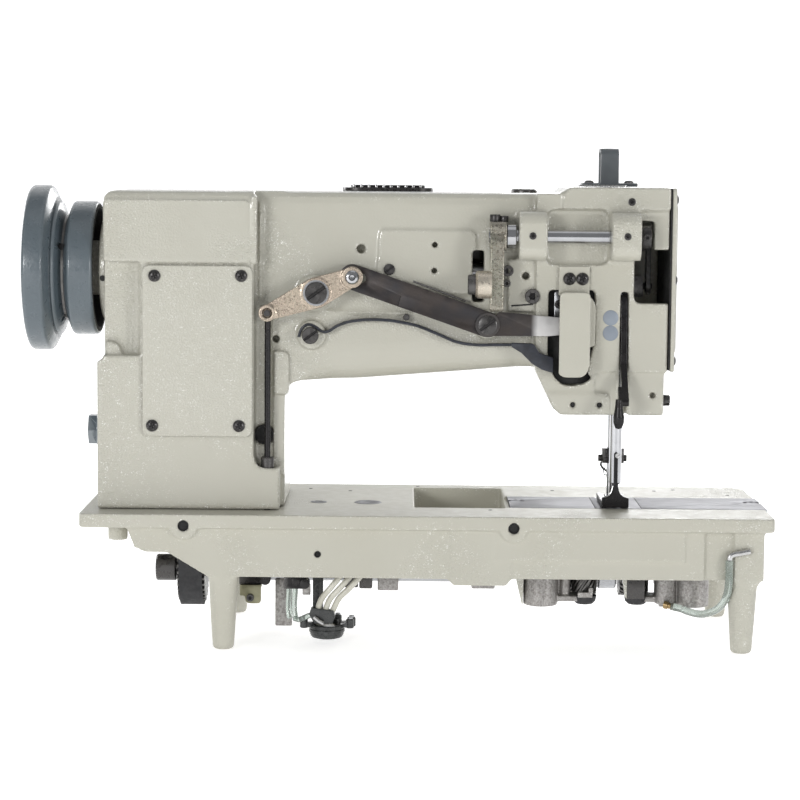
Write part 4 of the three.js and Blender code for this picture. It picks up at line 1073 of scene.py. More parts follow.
def make_saddle(side, out, far, wall):
    """A sand-cast saddle: two upright bulges towards the rear, a wall before the pinion and an oil cup.

    far and wall are distances from the hook's axis, away from the needles.
    """
    x = BAR_X + out * HOOK_REACH

    def span(near, end):
        return sorted((x + out * near, x + out * end))

    middle = x + out * sum(wall) / 2
    half = (wall[1] - wall[0]) / 2
    bulge = [(middle + half * math.cos(w), -17.4 - 6.5 * math.sin(w))
             for w in (math.pi / 14 * k for k in range(15))]
    foot = block(*span(-12, far - 10), -17, 3, 18, 31.4)
    body = cut(cad_copy(f"hook_saddle_{side}"), foot, rod("z", x + out * (far - 13.5), -12, 16, 10, 24.6, 24))
    saddle = merge(
        body,
        rod("z", x + out * (far - 13.4), -13, 12.7, 24.4, SADDLE_TOP),
        prism(bulge, "z", 26.3, SADDLE_TOP),
        block(*span(wall[0] + 1, far - 12), -18.5, -15.2, 27, SADDLE_TOP),
        block(*span(-6, wall[1]), -17.5, 3, 27.4, 31.8),
    )
    saddle = soften(cut(saddle, rod("z", x, NEEDLE_Y, 5.3, 10, 90, 32)), 0.75, 5, 0.3)
    cast(saddle, f"saddle_{side}", CAST, replaces=f"hook_saddle_{side}")
    screw(f"saddle_screw_{side}", "y", x + out * (far - 13.4), 56, -25.4, -1, 3.2, 1.6, "hex")
    piece(turned("z", x, -11, OIL_CUP, 48), f"oil_cup_{side}", RUBBER)


def make_left_pinion_guard():
    x = BAR_X - HOOK_REACH
    lug = [(x - 6, 31.4), (x + 5.4, 31.4), (x + 5.4, 39), (x + 2.4, 39), (x + 2.4, 35.4), (x - 6, 35.4)]
    piece(bevelled(prism(lug, "y", -22.5, -18.4), 0.5), "pinion_guard", CAST)
    rib = skin([
        [(97.4, -16, 25), (97.4, -10, 25), (96.6, -10, 25), (96.6, -16, 25)],
        [(97.6, -20, 46), (97.6, -10, 46), (91.6, -10, 46), (91.6, -20, 46)],
        [(97.6, -20, 91), (97.6, -10, 91), (91, -10, 91), (91, -20, 91)],
    ])
    piece(rib, "saddle_rib", ENAMEL_SMOOTH)


def make_right_pinion_guard():
    x = BAR_X + HOOK_REACH
    shield = prism(rectangle(x - 8.5, x + 5.5, 30.2, 46), "y", -21, -18.4)
    piece(bevelled(shield, 0.6), "pinion_shield", BLACK)
    edge = skin([
        [(x - 8.4, -21.4, 30.6), (x - 8.4, -17, 30.6), (x - 9.6, -17, 32), (x - 9.6, -21.4, 32)],
        [(x - 8.4, -21.4, 46), (x - 8.4, -17, 46), (x - 11.8, -17, 46), (x - 11.8, -21.4, 46)],
    ])
    piece(edge, "pinion_shield_edge", ENAMEL_SMOOTH)


# ---------------------------------------------------------------- slide plates, needle plate and feed dog

STRIP = (-37.7, 23.7, BED_TOP - 2.7, BED_TOP)


def make_strip():
    for side, x0, x1, notch_x in (("left", 86, 150.4, 92), ("right", 186, 281.5, 275.5)):
        notch = rod("z", notch_x, 0, 7, BED_TOP - 0.8, BED_TOP + 1)
        plate = bevelled(cut(block(x0, x1, *STRIP), notch), 0.35)
        piece(plate, f"bed_slide_{side}", PLATE, f"slide_plate_{side}", f"slide_plate_{side}")
    slot = block(BAR_X - 4.6, BAR_X + 4.6, -22, 14, BED_TOP - 6, BED_TOP + 1)
    throat = bevelled(cut(block(150.7, 185.7, *STRIP), slot), 0.3)
    piece(throat, "throat_plate", PLATE, replaces="needle_plate")
    screws("throat_screw", "z", ((174, -31), (157, 19)), BED_TOP - 0.7, 1, 3, 0.9, "slot", STEEL)


def needle_holes(apart, low, high):
    """Tools that bore the two needles' holes, at apart to each side of the needle bar's axis."""
    return [rod("z", BAR_X + dx, NEEDLE_Y, 1.4, low, high, 24) for dx in (-apart, apart)]


def make_feed_dog():
    x0, x1 = BAR_X - 4.3, BAR_X + 4.3
    teeth = [prism([(y, 102), (y + 1.5, 102), (y + 0.9, 103.5)], "x", x0, x1)
             for y in (-16.6 + i * 2.1 for i in range(12))]
    dog = cut(join(block(x0, x1, -17, 9, 93, 102.4), *teeth), *needle_holes(3.2, 90, 105))
    piece(dog, "feed_teeth", BRIGHT, "feed_dog", "feed_dog")


make_lower_shaft()
make_hook("left", -1)
make_hook("right", 1)
make_saddle("left", -1, 47.5, (5.8, 25))
make_saddle("right", 1, 56, (14.1, 30))
make_left_pinion_guard()
make_right_pinion_guard()
make_strip()
make_feed_dog()

# ---------------------------------------------------------------- needle frame, bars and feet

VIBRATING_Y = -19.3
PRESSER_Y = -32.5
GAUGE = 6.4
NEEDLE = [(0, 98), (0.25, 98.6), (0.8, 101.5), (0.8, 122), (1.1, 124), (1.1, 135.4), (0, 135.4)]
THREAD_EYE = [(-3.4, 137), (-6.6, 135.6), (-8.2, 133), (-7.2, 130.4), (-4.4, 128), (-2.2, 126.6),
              (-1.4, 129.6), (-1.6, 133), (-3.4, 137)]


def make_needle_bar():
    cast(soften(cad_copy("needle_frame"), 0.5, 3, 0.3), "rocking_frame", CAST, "needle_frame", "needle_frame")
    bar = turned("z", BAR_X, NEEDLE_Y, peg(4, 146, 299, 0.4, 0.5), 48)
    piece(bar, "needle_rod", CHROME, "needle_bar", "needle_bar")
    clamp = prism(rectangle(BAR_X - 8, BAR_X + 8.8, -12, -2, 2), "z", 134.8, 146.2)
    clamp = cut(clamp, block(BAR_X - 0.5, BAR_X + 0.5, -13, -8, 130, 142))
    piece(bevelled(clamp, 0.5), "needle_holder", BLACK, "needle_bar", "needle_clamp")
    for i, out in enumerate((-1, 1)):
        screw(f"needle_screw_{i + 1}", "x", -8, 138.5, BAR_X + out * 8.2, out, 2.6, 2.8, "slot", BLACK,
              "needle_bar")
        x = BAR_X + out * GAUGE / 2
        piece(turned("z", x, NEEDLE_Y, NEEDLE, 20), f"needle_{i + 1}", CHROME, "needle_bar")
        loop = [(x + out * across, NEEDLE_Y + back, z) for across, back, z in
                ((2, 4.2, 130), (3, 6.5, 128), (2.5, 7, 125), (0, 6, 124), (-0.6, 4, 125.5))]
        piece(tube(spline(loop, 5), 0.5, 10), f"thread_loop_{i + 1}", CHROME, "needle_bar")
    ring = [(BAR_X + a, -1.6, b) for a, b in THREAD_EYE]
    piece(tube(spline(ring, 5), 0.8, 10), "thread_eye", BLACK, "needle_bar")


def make_vibrating_bar():
    bar = turned("z", BAR_X, VIBRATING_Y, peg(3.6, 130, 299, 0.4, 0.4), 48)
    piece(bar, "walking_rod", CHROME, "vibrating_bar", "vibrating_bar")
    clamp = join(block(160.5, 185, -24.5, -13.5, 264, 280), rod("x", -20, 272, 2.5, 184, 192, 32))
    piece(bevelled(clamp, 0.6), "walking_rod_clamp", BLACK, "vibrating_bar")
    sole = outline([(-13, 104.6), (-12, 104), (5, 104), (7, 105.6, 1), (7, 108.5, 1), (-13, 108.5)])
    foot = join(
        prism(sole, "x", BAR_X - 4.6, BAR_X + 4.6),
        block(BAR_X - 3, BAR_X + 3, -22.5, -11, 105, 110),
        block(BAR_X - 3, BAR_X + 3, -22.5, -16.5, 106, 129.7),
    )
    foot = bevelled(cut(foot, *needle_holes(GAUGE / 2, 100, 112)), 0.35)
    piece(foot, "inner_walking_foot", BLACK, "vibrating_bar", "inner_foot")
    screw("inner_foot_screw", "x", VIBRATING_Y, 122, BAR_X + 3, 1, 2.4, 1.8, "slot", BLACK, "vibrating_bar")


def make_presser_bar():
    profile = [(0, 122.3), (4.3, 122.3), (4.75, 122.8), (4.75, 297.4), (4.2, 298), (0, 298)]
    piece(turned("z", BAR_X, PRESSER_Y, profile, 56), "presser_rod", CHROME, "presser_bar", "presser_bar")
    clamp = join(block(158.5, 172.5, -39, -27.2, 255, 264), block(128, 160, -39, -31, 256, 264))
    piece(bevelled(clamp, 0.7), "presser_lug", BLACK, "presser_bar")
    half = [(10.2, 104), (10.2, 111.4, 0.5), (3.6, 113.4, 7), (1.5, 122, 2), (1.5, 146.4, 1)]
    right = [(BAR_X + a, *rest) for a, *rest in half]
    left = [(BAR_X - a, *rest) for a, *rest in half[::-1]]
    web = prism(outline(right + left, 6), "y", -39.6, -35.4)
    toe = outline([(-34, 104), (8, 104), (13, 107, 1), (12, 108.5, 1), (-34, 108.5)])
    toes = [prism(toe, "x", BAR_X + start, BAR_X + start + 4.8) for start in (-10.2, 5.4)]
    shank = block(BAR_X - 2.4, BAR_X + 2.4, -36, -30, 110, 124)
    foot = soften(join(web, shank, *toes), 0.3, 2, 0.4)
    cast(foot, "outer_presser_foot", BLACK, "presser_bar", "presser_foot")
    screw("foot_screw", "y", BAR_X + 1.2, 144, -39.4, -1, 2, 1.4, "slot", BRIGHT, "presser_bar")
    rim = [(BAR_X - reach, -39.8, z) for reach, z in ((9.8, 111.9), (6, 113), (3.4, 116), (1.9, 121))]
    piece(tube(spline(rim, 5), 0.35, 8), "foot_edge", BRIGHT, "presser_bar")


make_needle_bar()
make_vibrating_bar()
make_presser_bar()

# ---------------------------------------------------------------- walking-foot drive

ROCKER = ("x", -58, 310)
CRANK_ARM_Y = -69.5
LINK_END_Y = -20


def make_rocker_crank():
    _, y, z = ROCKER
    shaft = turned(*ROCKER, peg(5, 66, 186, 0.6, 0.6))
    piece(shaft, "rocker_shaft", CHROME, "walking_shaft", "walking_shaft")
    clamp = prism(rectangle(-69, -47, 299.5, 321, 5, 8), "x", 67, 79)
    arm = prism(link_outline((CRANK_ARM_Y, 258, 3.5), (CRANK_ARM_Y + 3, 306, 6)), "x", 67, 77)
    slit = block(64, 82, y - 1, y + 1, z, 325)
    crank = cut(join(clamp, arm), rod(*ROCKER, 5.3, 60, 90, 48), slit)
    cast(soften(crank, 0.5, 3, 0.35), "rocker_crank", GOLD_DARK, "walking_shaft", "walking_crank")
    nut = [(0, 56.3), (8.6, 56.3), (10.3, 57.8), (10.3, 68), (0, 68)]
    piece(turned("x", CRANK_ARM_Y, 274.4, nut), "crank_nut", GOLD, "walking_shaft")
    collar = turned("x", CRANK_ARM_Y, 274.4, peg(7.5, 50.5, 56.2, 0.7), 48)
    piece(collar, "crank_nut_collar", BLACK, "walking_shaft")
    ring = turned(*ROCKER, peg(9, 79.2, 86.5, 0.6, 0.6, 5.3))
    piece(ring, "rocker_collar", CHROME, "walking_shaft")
    for i, (x, radius, height) in enumerate(((70.6, 4, 5.2), (77.4, 3.2, 4.2))):
        screw(f"clamp_screw_{i + 1}", "z", x, y, 321, 1, radius, height, "hex", BLACK, "walking_shaft")


def make_vibrating_link():
    _, y, z = ROCKER
    arm = prism(link_outline((y, z, 8.6), (LINK_END_Y, 304, 5)), "x", 180, 186.5)
    arm = cut(arm, rod(*ROCKER, 5.3, 170, 190, 48))
    arm = bevelled(join(arm, rod("x", LINK_END_Y, 304, 2.5, 185.5, 192, 32)), 0.6)
    piece(arm, "rocker_end_arm", BLACK, "walking_shaft", "end_crank")
    screw("end_arm_screw", "y", 183.2, z, -66.2, -1, 2.6, 1.6, "hex", BLACK, "walking_shaft")
    bar = prism(link_outline((LINK_END_Y, 272, 6.4), (LINK_END_Y, 304, 4.6)), "x", 187.2, 190.8)
    holes = [rod("x", LINK_END_Y, 272, 4.3, 180, 195), rod("x", LINK_END_Y, 304, 2.8, 180, 195, 32)]
    piece(bevelled(cut(bar, *holes), 0.5), "short_link", BLACK, "vibrating_link", "vibrating_link")


make_rocker_crank()
make_vibrating_link()
set_screw("boss_screw_1", 97.9, 310.9, -76, 2.7)
set_screw("boss_screw_2", 167.9, 310.9, -76, 2.7)
set_screw("band_screw", 172.7, 336.2, -53.4, 2.9)

# ---------------------------------------------------------------- presser lifting linkage

CRANK_PIVOT = (-62.1, 267)
CRANK_LEFT = (-98.5, 251.6)
CRANK_RIGHT = (-35.4, 278.8)
LEVER_PIVOT = (66, 243.9)
LEVER_Y = (-58, -53)
RIVET = [(0, -52.8), (3, -52.8), (3, -65.6), (4.9, -65.6), (5.2, -66.8), (4.2, -67.9), (2.6, -68.2),
         (1.8, -67.2), (0, -67)]
SPRING_PATH = [
    (-75.6, 233), (-73.2, 239.6), (-68.4, 242.6), (-63, 240.8), (-58, 237.4), (-53, 237.6), (-46.5, 241.6),
    (-37.7, 244.8), (-25, 246.4), (-12, 246.4), (1, 244.8), (14.8, 241.7), (29.5, 235.8), (43.5, 230.2),
    (58, 228.2), (72, 228.4), (88, 228.6),
]


def make_bell_crank():
    solids = [
        prism(link_outline((*CRANK_PIVOT, 11.5), (*CRANK_LEFT, 5.6)), "y", -64.9, -60.1),
        prism(link_outline((*CRANK_PIVOT, 11.5), (*CRANK_RIGHT, 7)), "y", -64.9, -60.1),
        rod("y", *CRANK_LEFT, 6.4, -65.6, -59.5, 48),
        rod("y", *CRANK_RIGHT, 8, -65.9, -59.5, 48),
        rod("y", *CRANK_PIVOT, 11.2, -65.3, -59.5, 48),
    ]
    crank = cut(join(*solids), rod("y", *CRANK_PIVOT, 4.3, -68, -56), rod("y", *CRANK_LEFT, 3.6, -70, -64))
    cast(soften(crank, 0.45, 3, 0.35), "lifting_crank", GOLD, "bell_crank", "bell_crank")
    piece(turned("y", *CRANK_RIGHT, RIVET, 48), "crank_rivet", CHROME, "bell_crank")
    pin = turned("y", *CRANK_LEFT, peg(2.5, -51.5, -67, 0, 0.5), 40)
    piece(pin, "crank_pin", BLACK, "bell_crank")
    screw("crank_pivot_screw", "y", *CRANK_PIVOT, -65.9, -1, 8.2, 3.6, "slot", replaces="bell_crank_screw")
    piece(turned("y", *CRANK_PIVOT, peg(9.6, -65.7, -66.1, bore=4)), "crank_washer", STEEL)


def make_lever():
    x, z = CRANK_RIGHT
    ground_end = outline([(62, 235.5), (112, 235.8), (139, 238.5), (139, 250), (118, 249.8), (106, 250.8),
                          (74, 253.6, 3)])
    lever = join(
        prism(link_outline((x, z, 9.5), (*LEVER_PIVOT, 9.5)), "y", *LEVER_Y),
        prism(ground_end, "y", *LEVER_Y),
        block(128, 139, LEVER_Y[0], -31.5, 241.5, 250),
    )
    lever = cut(
        lever,
        prism(link_outline((x, z, 3.7), (x + 6.7, z - 1, 3.7)), "y", -60, -50),
        rod("y", *LEVER_PIVOT, 4.3, -60, -50),
        prism([(-1.6, 257.6), (-0.5, 257.6), (1.3, 265), (0.4, 265)], "y", -58.5, -57.2),
    )
    piece(bevelled(lever, 0.7), "lifting_lever", LEVER_BLACK, "lift_lever", "lift_lever")
    heading = math.atan2(LEVER_PIVOT[1] - z, LEVER_PIVOT[0] - x)
    along = Vector((math.cos(heading), 0, math.sin(heading)))
    above = Vector((-along.z, 0, along.x))
    end = Vector((x, -52.4, z))
    wire = tube([end + along * 44 + above * 11.8, end + along * 86 + above * 10.8], 0.8, 12)
    piece(wire, "lever_spring_wire", BLACK)
    collar = turned("y", *LEVER_PIVOT, peg(9.2, -58.1, -59.4, 0, 0.4))
    piece(collar, "lever_pivot_collar", LEVER_BLACK)
    screw("lever_pivot_screw", "y", *LEVER_PIVOT, -59.3, -1, 7, 2.4, "slot", replaces="lift_lever_screw")


def make_lift_rod():
    x, z = CRANK_LEFT
    y = -55
    path = [(x, -58.6, z + 0.6), (x, -56, z + 0.5), (x, y, z - 3), (x, y, z - 9), (x, y, 150), (x, y, 87)]
    body = join(rod("y", x, z, 5.5, -58.7, -52), tube(spline(path, 5), 2.3, 24))
    piece(cut(body, rod("y", x, z, 2.8, -60, -50, 32)), "pull_rod", BLACK, "lift_rod", "lift_rod")
    collar = [(0, 131.5), (4.2, 131.5), (5, 132.5), (5, 142), (4.2, 143), (0, 143)]
    piece(turned("z", x, y, collar, 40), "rod_collar", BLACK, "lift_rod")
    # painted shade: a near-black cup in the rod's port
    port = [(0, -43), (7.2, -43), (7.2, -45), (6.2, -45), (6.2, -43.6), (0, -43.6)]
    piece(turned("y", -101.5, 158.3, port, 48), "rod_port", PAINTED_SHADE)


def make_spring():
    path = spline(SPRING_PATH)
    upper, lower = [], []
    for i, point in enumerate(path):
        along = (path[min(i + 1, len(path) - 1)] - path[max(i - 1, 0)]).normalized()
        across = Vector((-along.y, along.x))
        upper.append(point + across)
        lower.append(point - across)
    strip = bevelled(prism(upper + lower[::-1], "y", -52, -46), 0.3, 60)
    piece(strip, "spring_strip", NAVY, replaces="leaf_spring")
    arm = outline([
        (84, 230.4), (101, 230, 5), (105, 223, 5), (115.5, 219.5), (115.5, 208), (107, 210.5, 3),
        (99.5, 215, 6), (91.5, 223, 6), (84, 227.4),
    ], 8)
    piece(bevelled(prism(arm, "y", -57.5, -52.3), 0.5), "spring_arm", NAVY)
    screw("spring_screw", "y", -66.6, 234.5, -53.4, -1, 6.3, 4, "slot", replaces="spring_anchor_screw")
    stud = [(0, -44), (2.4, -44), (2.4, -51.5), (2, -52), (0, -52)]
    piece(turned("y", 5.2, 248.5, stud, 32), "spring_stud", BLACK)


make_bell_crank()
make_lever()
make_lift_rod()
make_spring()
cast(soften(cad_copy("hand_lifter"), 0.4, 3, 0.4), "lifter_handle", BLACK, "hand_lifter", "hand_lifter")

# ---------------------------------------------------------------- small parts on the rear of the arm


def make_rear_hardware():
    screw("bracket_screw", "y", 81.1, 283.9, -46, -1, 4.2, 4, "hex")
    screw("bracket_screw_low", "y", 80.5, 274.5, -46, -1, 2.8, 3.4, "hex")
    screw("bracket_bolt", "y", 99.5, 265.2, -49, -1, 5.6, 5, "hex")
    # painted shade: a near-black sliver in the bracket's split
    split = prism([(84, 257.2), (110, 259.2), (110, 260.3), (84, 258.4)], "y", -49.3, -48.5)
    piece(split, "bracket_split", PAINTED_SHADE)
    screw("oval_screw", "y", -7.9, 284.2, -46.4, -1, 4.2, 1.6, "slot")
    # painted shade: near-black discs in the pad holes and the shaft boss hole
    numbered("pad_hole", [rod("y", x, z, 2.3, -50.4, -49.2, 24) for x, z in PAD_HOLES], PAINTED_SHADE)
    piece(rod("y", -223.4, 275.6, 2.2, -45.4, -43.6, 24), "shaft_boss_hole", PAINTED_SHADE)


make_rear_hardware()

# ---------------------------------------------------------------- front of the machine

TENSION_X = 134
TENSION_POST = [(0, 41), (3, 41), (3, 52.5), (8.4, 52.5), (9, 53), (9, 55), (5, 55.4), (3, 56), (3, 83.4),
                (2.4, 84), (0, 84)]
TENSION_NUT = [(3.3, 72), (7.8, 72), (9, 73), (9, 79), (7.6, 81), (3.3, 81), (3.3, 72)]
COIL_TURNS = 4.5
COIL_STEPS = 90
DIAL = (-155, 205)
DIAL_PROFILE = [(0, 40), (5, 40), (5, 51.8), (24, 51.8), (25, 53.5), (25, 59), (22, 62), (10, 62), (9, 66),
                (0, 66)]


def tension_disc(z, y, lean):
    """A dished disc whose edge leans away from its partner's."""
    return turned("y", TENSION_X, z, [
        (3.1, y), (9, y), (13, y - lean * 0.5), (14.5, y - lean * 1.2), (14.5, y - lean * 0.7), (13, y),
        (9, y + 0.5), (3.1, y + 0.5), (3.1, y),
    ], 56)


def make_tension_unit(n, z):
    post = turned("y", TENSION_X, z, TENSION_POST, 48)
    piece(post, f"tension_post_{n}", CHROME, replaces=f"tension_unit_{n}")
    discs = [tension_disc(z, y, lean) for y, lean in ((56, 1), (58.4, -1), (59.6, 1), (62, -1))]
    numbered(f"tension_disc_{n}", discs, CHROME)
    coil = []
    for t in (k / COIL_STEPS for k in range(COIL_STEPS + 1)):
        w, reach = math.tau * COIL_TURNS * t, 7.4 - 2.6 * t
        coil.append((TENSION_X + reach * math.cos(w), 63.4 + 8 * t, z + reach * math.sin(w)))
    piece(tube(coil, 0.55, 10), f"tension_spring_{n}", CHROME)
    knurl = [rod("y", a, b, 0.6, 71, 82, 8) for a, b in disc(TENSION_X, z, 9.3, 24)]
    nut = cut(turned("y", TENSION_X, z, TENSION_NUT, 96), *knurl)
    piece(nut, f"knurled_nut_{n}", CHROME, f"tension_nut_{n}", f"tension_nut_{n}")


def make_take_up_lever():
    lever = join(prism(link_outline((14, 292, 6), (76, 314, 4)), "x", 149.9, 153.1),
                 rod("x", 14, 292, 6, 148.5, 154.5))
    lever = bevelled(cut(lever, rod("x", 76, 314, 1.8, 145, 160, 24)), 0.6)
    piece(lever, "thread_lever", CHROME, "take_up_lever", "take_up_lever")


def make_stitch_dial():
    grips = [rod("y", a, b, 1.5, 52.5, 63, 12) for a, b in disc(*DIAL, 25.6, 36)]
    dial = cut(turned("y", *DIAL, DIAL_PROFILE, 120, 0.5), *grips)
    piece(dial, "stitch_wheel", RUBBER, "stitch_dial", "stitch_dial")
    marks = []
    for k in range(10):
        mark = prism([(-0.5, 15.5), (0.5, 15.5), (0.5, 20), (-0.5, 20)], "y", 61.7, 62.2)
        mark.data.transform(Matrix.Rotation(math.tau * k / 10, 4, "Y"))
        mark.data.transform(Matrix.Translation(Vector((DIAL[0], 0, DIAL[1])) * MM))
        marks.append(mark)
    numbered("dial_mark", marks, WHITE_TUBE, "stitch_dial")
    piece(rod("y", DIAL[0], 234, 2, 50.5, 52.4, 24), "dial_pointer", BRASS)


def make_sight_glass():
    ring = [(0, 44.8), (8, 44.8), (9.4, 45.6), (9.4, 47.2), (8.2, 47.8), (7.4, 47), (0, 46.8)]
    piece(turned("y", 70, 285, ring, 56), "sight_ring", CHROME)
    window = [(0, 46.6), (7.2, 46.6), (7.2, 47.4), (4, 48.2), (0, 48.5)]
    piece(turned("y", 70, 285, window, 48), "sight_window", SIGHT_GLASS)


make_tension_unit(1, 281)
make_tension_unit(2, 318)
make_take_up_lever()
make_stitch_dial()
handle = soften(cad_copy("reverse_lever"), 0.5, 4, 0.35)
cast(handle, "reverse_handle", BLACK, "reverse_lever", "reverse_lever")
make_sight_glass()

# ---------------------------------------------------------------- oil pump and tubes

PUMP = (-53.2, -46)
PUMP_LUGS = ((188, 17.6), (352, 17.8), (14, 19.4), (60, 16))
PUMP_CUP = [(0, 3.2), (8, 3.2), (11.4, 4.2), (12.7, 6.2), (12.9, 8), (13.6, 8.4), (13.6, 10.4), (12.9, 10.8),
            (13.2, 13.4), (12.4, 14), (9.4, 14), (9, 10.5), (0, 10.5)]
PUMP_FELT = [(0, 10.4), (8.8, 10.4), (8.8, 12.4), (7.4, 13.2), (4, 12.6), (0, 13)]


def make_pump():
    """A black plastic pump: a shallow cup with a clamp ring, screw lugs and a post up to the bed."""
    solids = [turned("z", *PUMP, PUMP_CUP, 96)]
    screw_places = []
    for heading, reach in PUMP_LUGS:
        w = math.radians(heading)
        place = (PUMP[0] + reach * math.cos(w), PUMP[1] + reach * math.sin(w))
        screw_places.append(place)
        lug = [(0, 11.4), (2.6, 11.4), (3, 12), (3, 17.8), (2.4, 18.4), (0, 18.4)]
        solids.append(turned("z", *place, lug, 28))
        solids.append(prism(bar_outline(*PUMP, heading, 11, reach, 2.2), "z", 11.8, 15.6))
    solids.append(block(-64.2, -56.4, -43, -37, 10, 92.5))
    piece(bevelled(join(*solids), 0.35, 50), "pump", PUMP_BLACK, replaces="oil_pump")
    piece(rod("y", -57.5, 20, 5.2, -43.5, -36, 32), "pump_boss", PUMP_BLACK)
    screws("pump_screw", "z", screw_places, 18.4, 1, 2, 1.4, "slot", STEEL)
    piece(turned("z", PUMP[0] - 1.6, PUMP[1], PUMP_FELT, 40), "pump_felt", WHITE_TUBE)


def make_oil_tubes():
    """Three milky oil lines that leave a black sleeve on the pump and climb to the feed shaft."""
    for i in range(3):
        route = [(x + i * apart, y, z) for x, apart, y, z in (
            (-57.4, 3.2, -52.4, 19), (-58.6, 4.6, -54.6, 24), (-59.2, 6, -56, 29), (-56.4, 6.4, -57, 36),
            (-50, 7.2, -57.4, 44), (-42, 7.6, -56.4, 54), (-37, 7.6, -55, 64), (-35, 7.6, -53, 88),
        )]
        line = tube(spline(route, 8), 2.2, 20)
        piece(line, f"oil_line_{i + 1}", WHITE_TUBE, replaces=None if i else "oil_tubes")
    sleeve = skin([
        [(-62.4, -57.4, 16), (-48.6, -57.4, 16), (-48.6, -50.6, 16), (-62.4, -50.6, 16)],
        [(-66.4, -58.8, 23), (-46.8, -58.8, 22), (-46.8, -51.4, 22), (-66.4, -51.4, 23)],
        [(-64.8, -59.4, 28.6), (-47.6, -59.4, 26.4), (-47.6, -52.4, 26.4), (-64.8, -52.4, 28.6)],
    ])
    piece(bevelled(sleeve, 0.8), "tube_sleeve", PUMP_BLACK)
    side = [(-64, -55, 22.2), (-67, -54.6, 21.6), (-70.6, -52.4, 19.6), (-74.4, -50, 17.8),
            (-78, -48.4, 18.4)]
    piece(tube(spline(side), 2.1), "side_tube", CLEAR)
    piece(tube([(-62.6, -59.6, 21.8), (-58.6, -60, 18.6), (-55.6, -59.8, 16.8)], 1.5), "tube_joint", BRIGHT)


def make_return_tubes():
    """Two clear tubes from the manifold down to the pump, and the pipes above them."""
    for i, (x, low) in enumerate(((-82.2, 18.2), (-77.6, 17))):
        drop = [(x, -44, 46), (x, -44, 38), (x - 0.4, -45, 28), (x + 0.2, -46.6, 21), (x + 1, -47.8, low)]
        piece(tube(spline(drop), 2.1), f"return_tube_{i + 1}", CLEAR)
        piece(rod("z", x, -44, 2.5, 42, 92.4, 24), f"return_pipe_{i + 1}", BLACK)


def make_hose_fittings():
    start, end = Vector((205.4, -26.6, 27.4)), Vector((218.8, -30.7, 24.9))
    steps = [(0, 3), (0.22, 3), (0.25, 2.3), (0.38, 2.3), (0.4, 2.7), (0.52, 2.1)]
    nipple = tube([start.lerp(end, t) for t, _ in steps], [radius for _, radius in steps], 24)
    piece(nipple, "nipple", BRASS, replaces="hose_nipple")
    piece(tube([start.lerp(end, t) for t in (0.4, 0.7, 1)], HOSE_RADIUS, 20), "hose_end", CLEAR)
    pipe = [(x, HOSE_Y, z) for x, z in ((246.7, 72.4), (247.2, 75), (249.7, 76.6), (255, 77.6), (262, 79))]
    piece(tube(spline(pipe), 2.3, 20), "pipe_end", BRIGHT, replaces="pipe_stub")


make_pump()
make_oil_tubes()
make_return_tubes()
make_hose_fittings()

# ---------------------------------------------------------------- feed parts under the bed

FEED_BLOCKS = (
    ("feed_bar", (-94, -81, -21, -17, 7, 44), 1.1, CAST),
    ("feed_block_1", (-41, -30, -30, -20, 39, 50), 1.1, BLACK),
    ("feed_block_2", (-29, -19, -34, -24, 39, 50), 1.1, BLACK),
    ("feed_block_3", (-15, 1, -30, -20, 37, 50), 1.1, CAST),
    ("feed_block_4", (57, 75, -30, -24, 39, 44), 1.1, CAST),
    ("feed_hanger_1", (-110, -102, -26, -22, 48, 92), 0.5, CAST),
    ("feed_hanger_2", (-91, -84, -20.4, -17.6, 43, 92), 0.5, CAST),
    ("feed_hanger_3", (-38, -1, -24, -21.5, 49, 54), 0.5, CAST),
    ("feed_hanger_4", (-4, 0, -24, -21.5, 49, 92), 0.5, CAST),
    ("feed_hanger_5", (62, 68, -28, -26, 43.5, 67.5), 0.5, CAST),
    ("oil_manifold_lug", (-72, -66, -46, -40, 36, 44), 0.6, CAST),
)


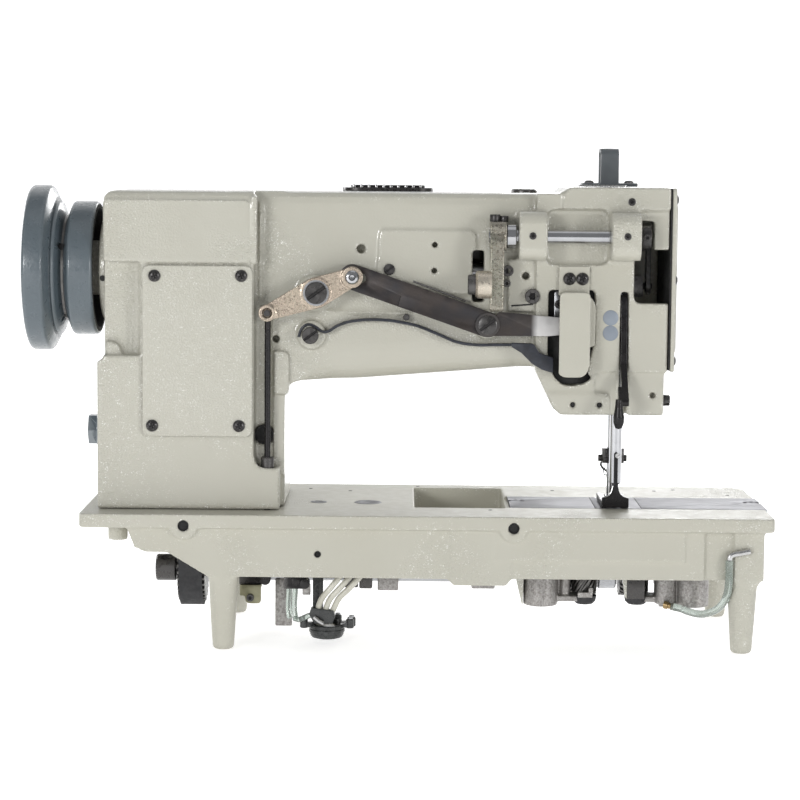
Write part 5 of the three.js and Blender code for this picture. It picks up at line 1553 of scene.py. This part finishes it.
def make_feed_parts():
    """Blocks, brackets and the feed shaft that hang between the pump and the belt."""
    for name, box, bevel, look in FEED_BLOCKS:
        piece(bevelled(block(*box), bevel), name, look)
    bracket = outline([(-120.4, 39), (-104.2, 39), (-104.2, 27, 3), (-116, 27, 4), (-116.4, 33, 2),
                       (-120.4, 33, 1)])
    bracket = join(prism(bracket, "y", -35, -32), block(-120.4, -104.2, -35, -14, 38.4, 41.4))
    piece(bevelled(bracket, 0.6), "feed_bracket", OLIVE)
    screw("feed_bracket_screw", "y", -112.4, 31.6, -35, -1, 2.9, 2.2, "hex")
    body = join(block(-121, -99, -33, -15, 41.6, 49.6), rod("y", -101, 45.4, 4, -35, -15, 28))
    piece(bevelled(body, 0.8), "feed_bracket_block", BLACK)
    piece(turned("x", -16, 47, peg(5, -108, 72, 0.6, 0.6), 40), "feed_shaft", STEEL)
    manifold = join(block(-86, -69, -48, -38, 41, 50), rod("y", -70, 45, 3.6, -50, -38, 24),
                    rod("y", -77, 47, 3, -50.5, -38, 24))
    piece(bevelled(manifold, 0.6), "oil_manifold", BLACK)
    piece(turned(*LOWER, peg(14, 158, 172, 1, 1, 7.2), 56), "shaft_collar", STEEL, "lower_drive")


make_feed_parts()

# ---------------------------------------------------------------- studio

FLOOR_HALF_WIDTH = 5
FLOOR_DROP = 0.0002
LAMPS = (
    ("key", (-1.3, -2.2, 0.62), (0, 0, 0.2), 0.6, 0.5, 21),
    ("side", (1.8, -1.8, 0.5), (0.1, 0, 0.2), 0.4, 0.6, 14),
    ("top", (0.1, -0.2, 1.9), (0, 0, 0.2), 1.6, 0.9, 2),
    ("front", (0.6, 1.6, 0.7), (0, 0, 0.2), 0.9, 0.6, 11),
    ("front_side", (-1.5, 1.2, 0.5), (0, 0, 0.2), 0.5, 0.6, 6),
)


def make_floor():
    """A pale floor that curves up into a wall behind the machine."""
    bend = arc(1.6, 1.2, 1.2, -math.pi / 2, 0, 12)
    profile = [(-4.5, 0)] + bend + [(2.8, 5)]
    bm = bmesh.new()
    rows = [[bm.verts.new((x, y, z - FLOOR_DROP)) for y, z in profile]
            for x in (-FLOOR_HALF_WIDTH, FLOOR_HALF_WIDTH)]
    for i in range(len(profile) - 1):
        bm.faces.new((rows[0][i], rows[1][i], rows[1][i + 1], rows[0][i + 1]))
    floor = mesh_object("floor", bm)
    floor.data.shade_smooth()
    white = bpy.data.materials.new("floor")
    white.use_nodes = True
    surface = white.node_tree.nodes["Principled BSDF"]
    surface.inputs["Base Color"].default_value = (0.9, 0.9, 0.9, 1)
    surface.inputs["Roughness"].default_value = 0.8
    surface.inputs["Emission Color"].default_value = (1, 1, 1, 1)
    surface.inputs["Emission Strength"].default_value = 0.6
    floor.data.materials.append(white)


def make_world():
    world = bpy.data.worlds.new("studio")
    world.use_nodes = True
    background = world.node_tree.nodes["Background"]
    background.inputs["Color"].default_value = (0.96, 0.98, 1, 1)
    background.inputs["Strength"].default_value = 0.3
    bpy.context.scene.world = world


make_floor()
make_world()
for lamp in LAMPS:
    area_light(*lamp)
bpy.context.scene.view_settings.view_transform = "Standard"
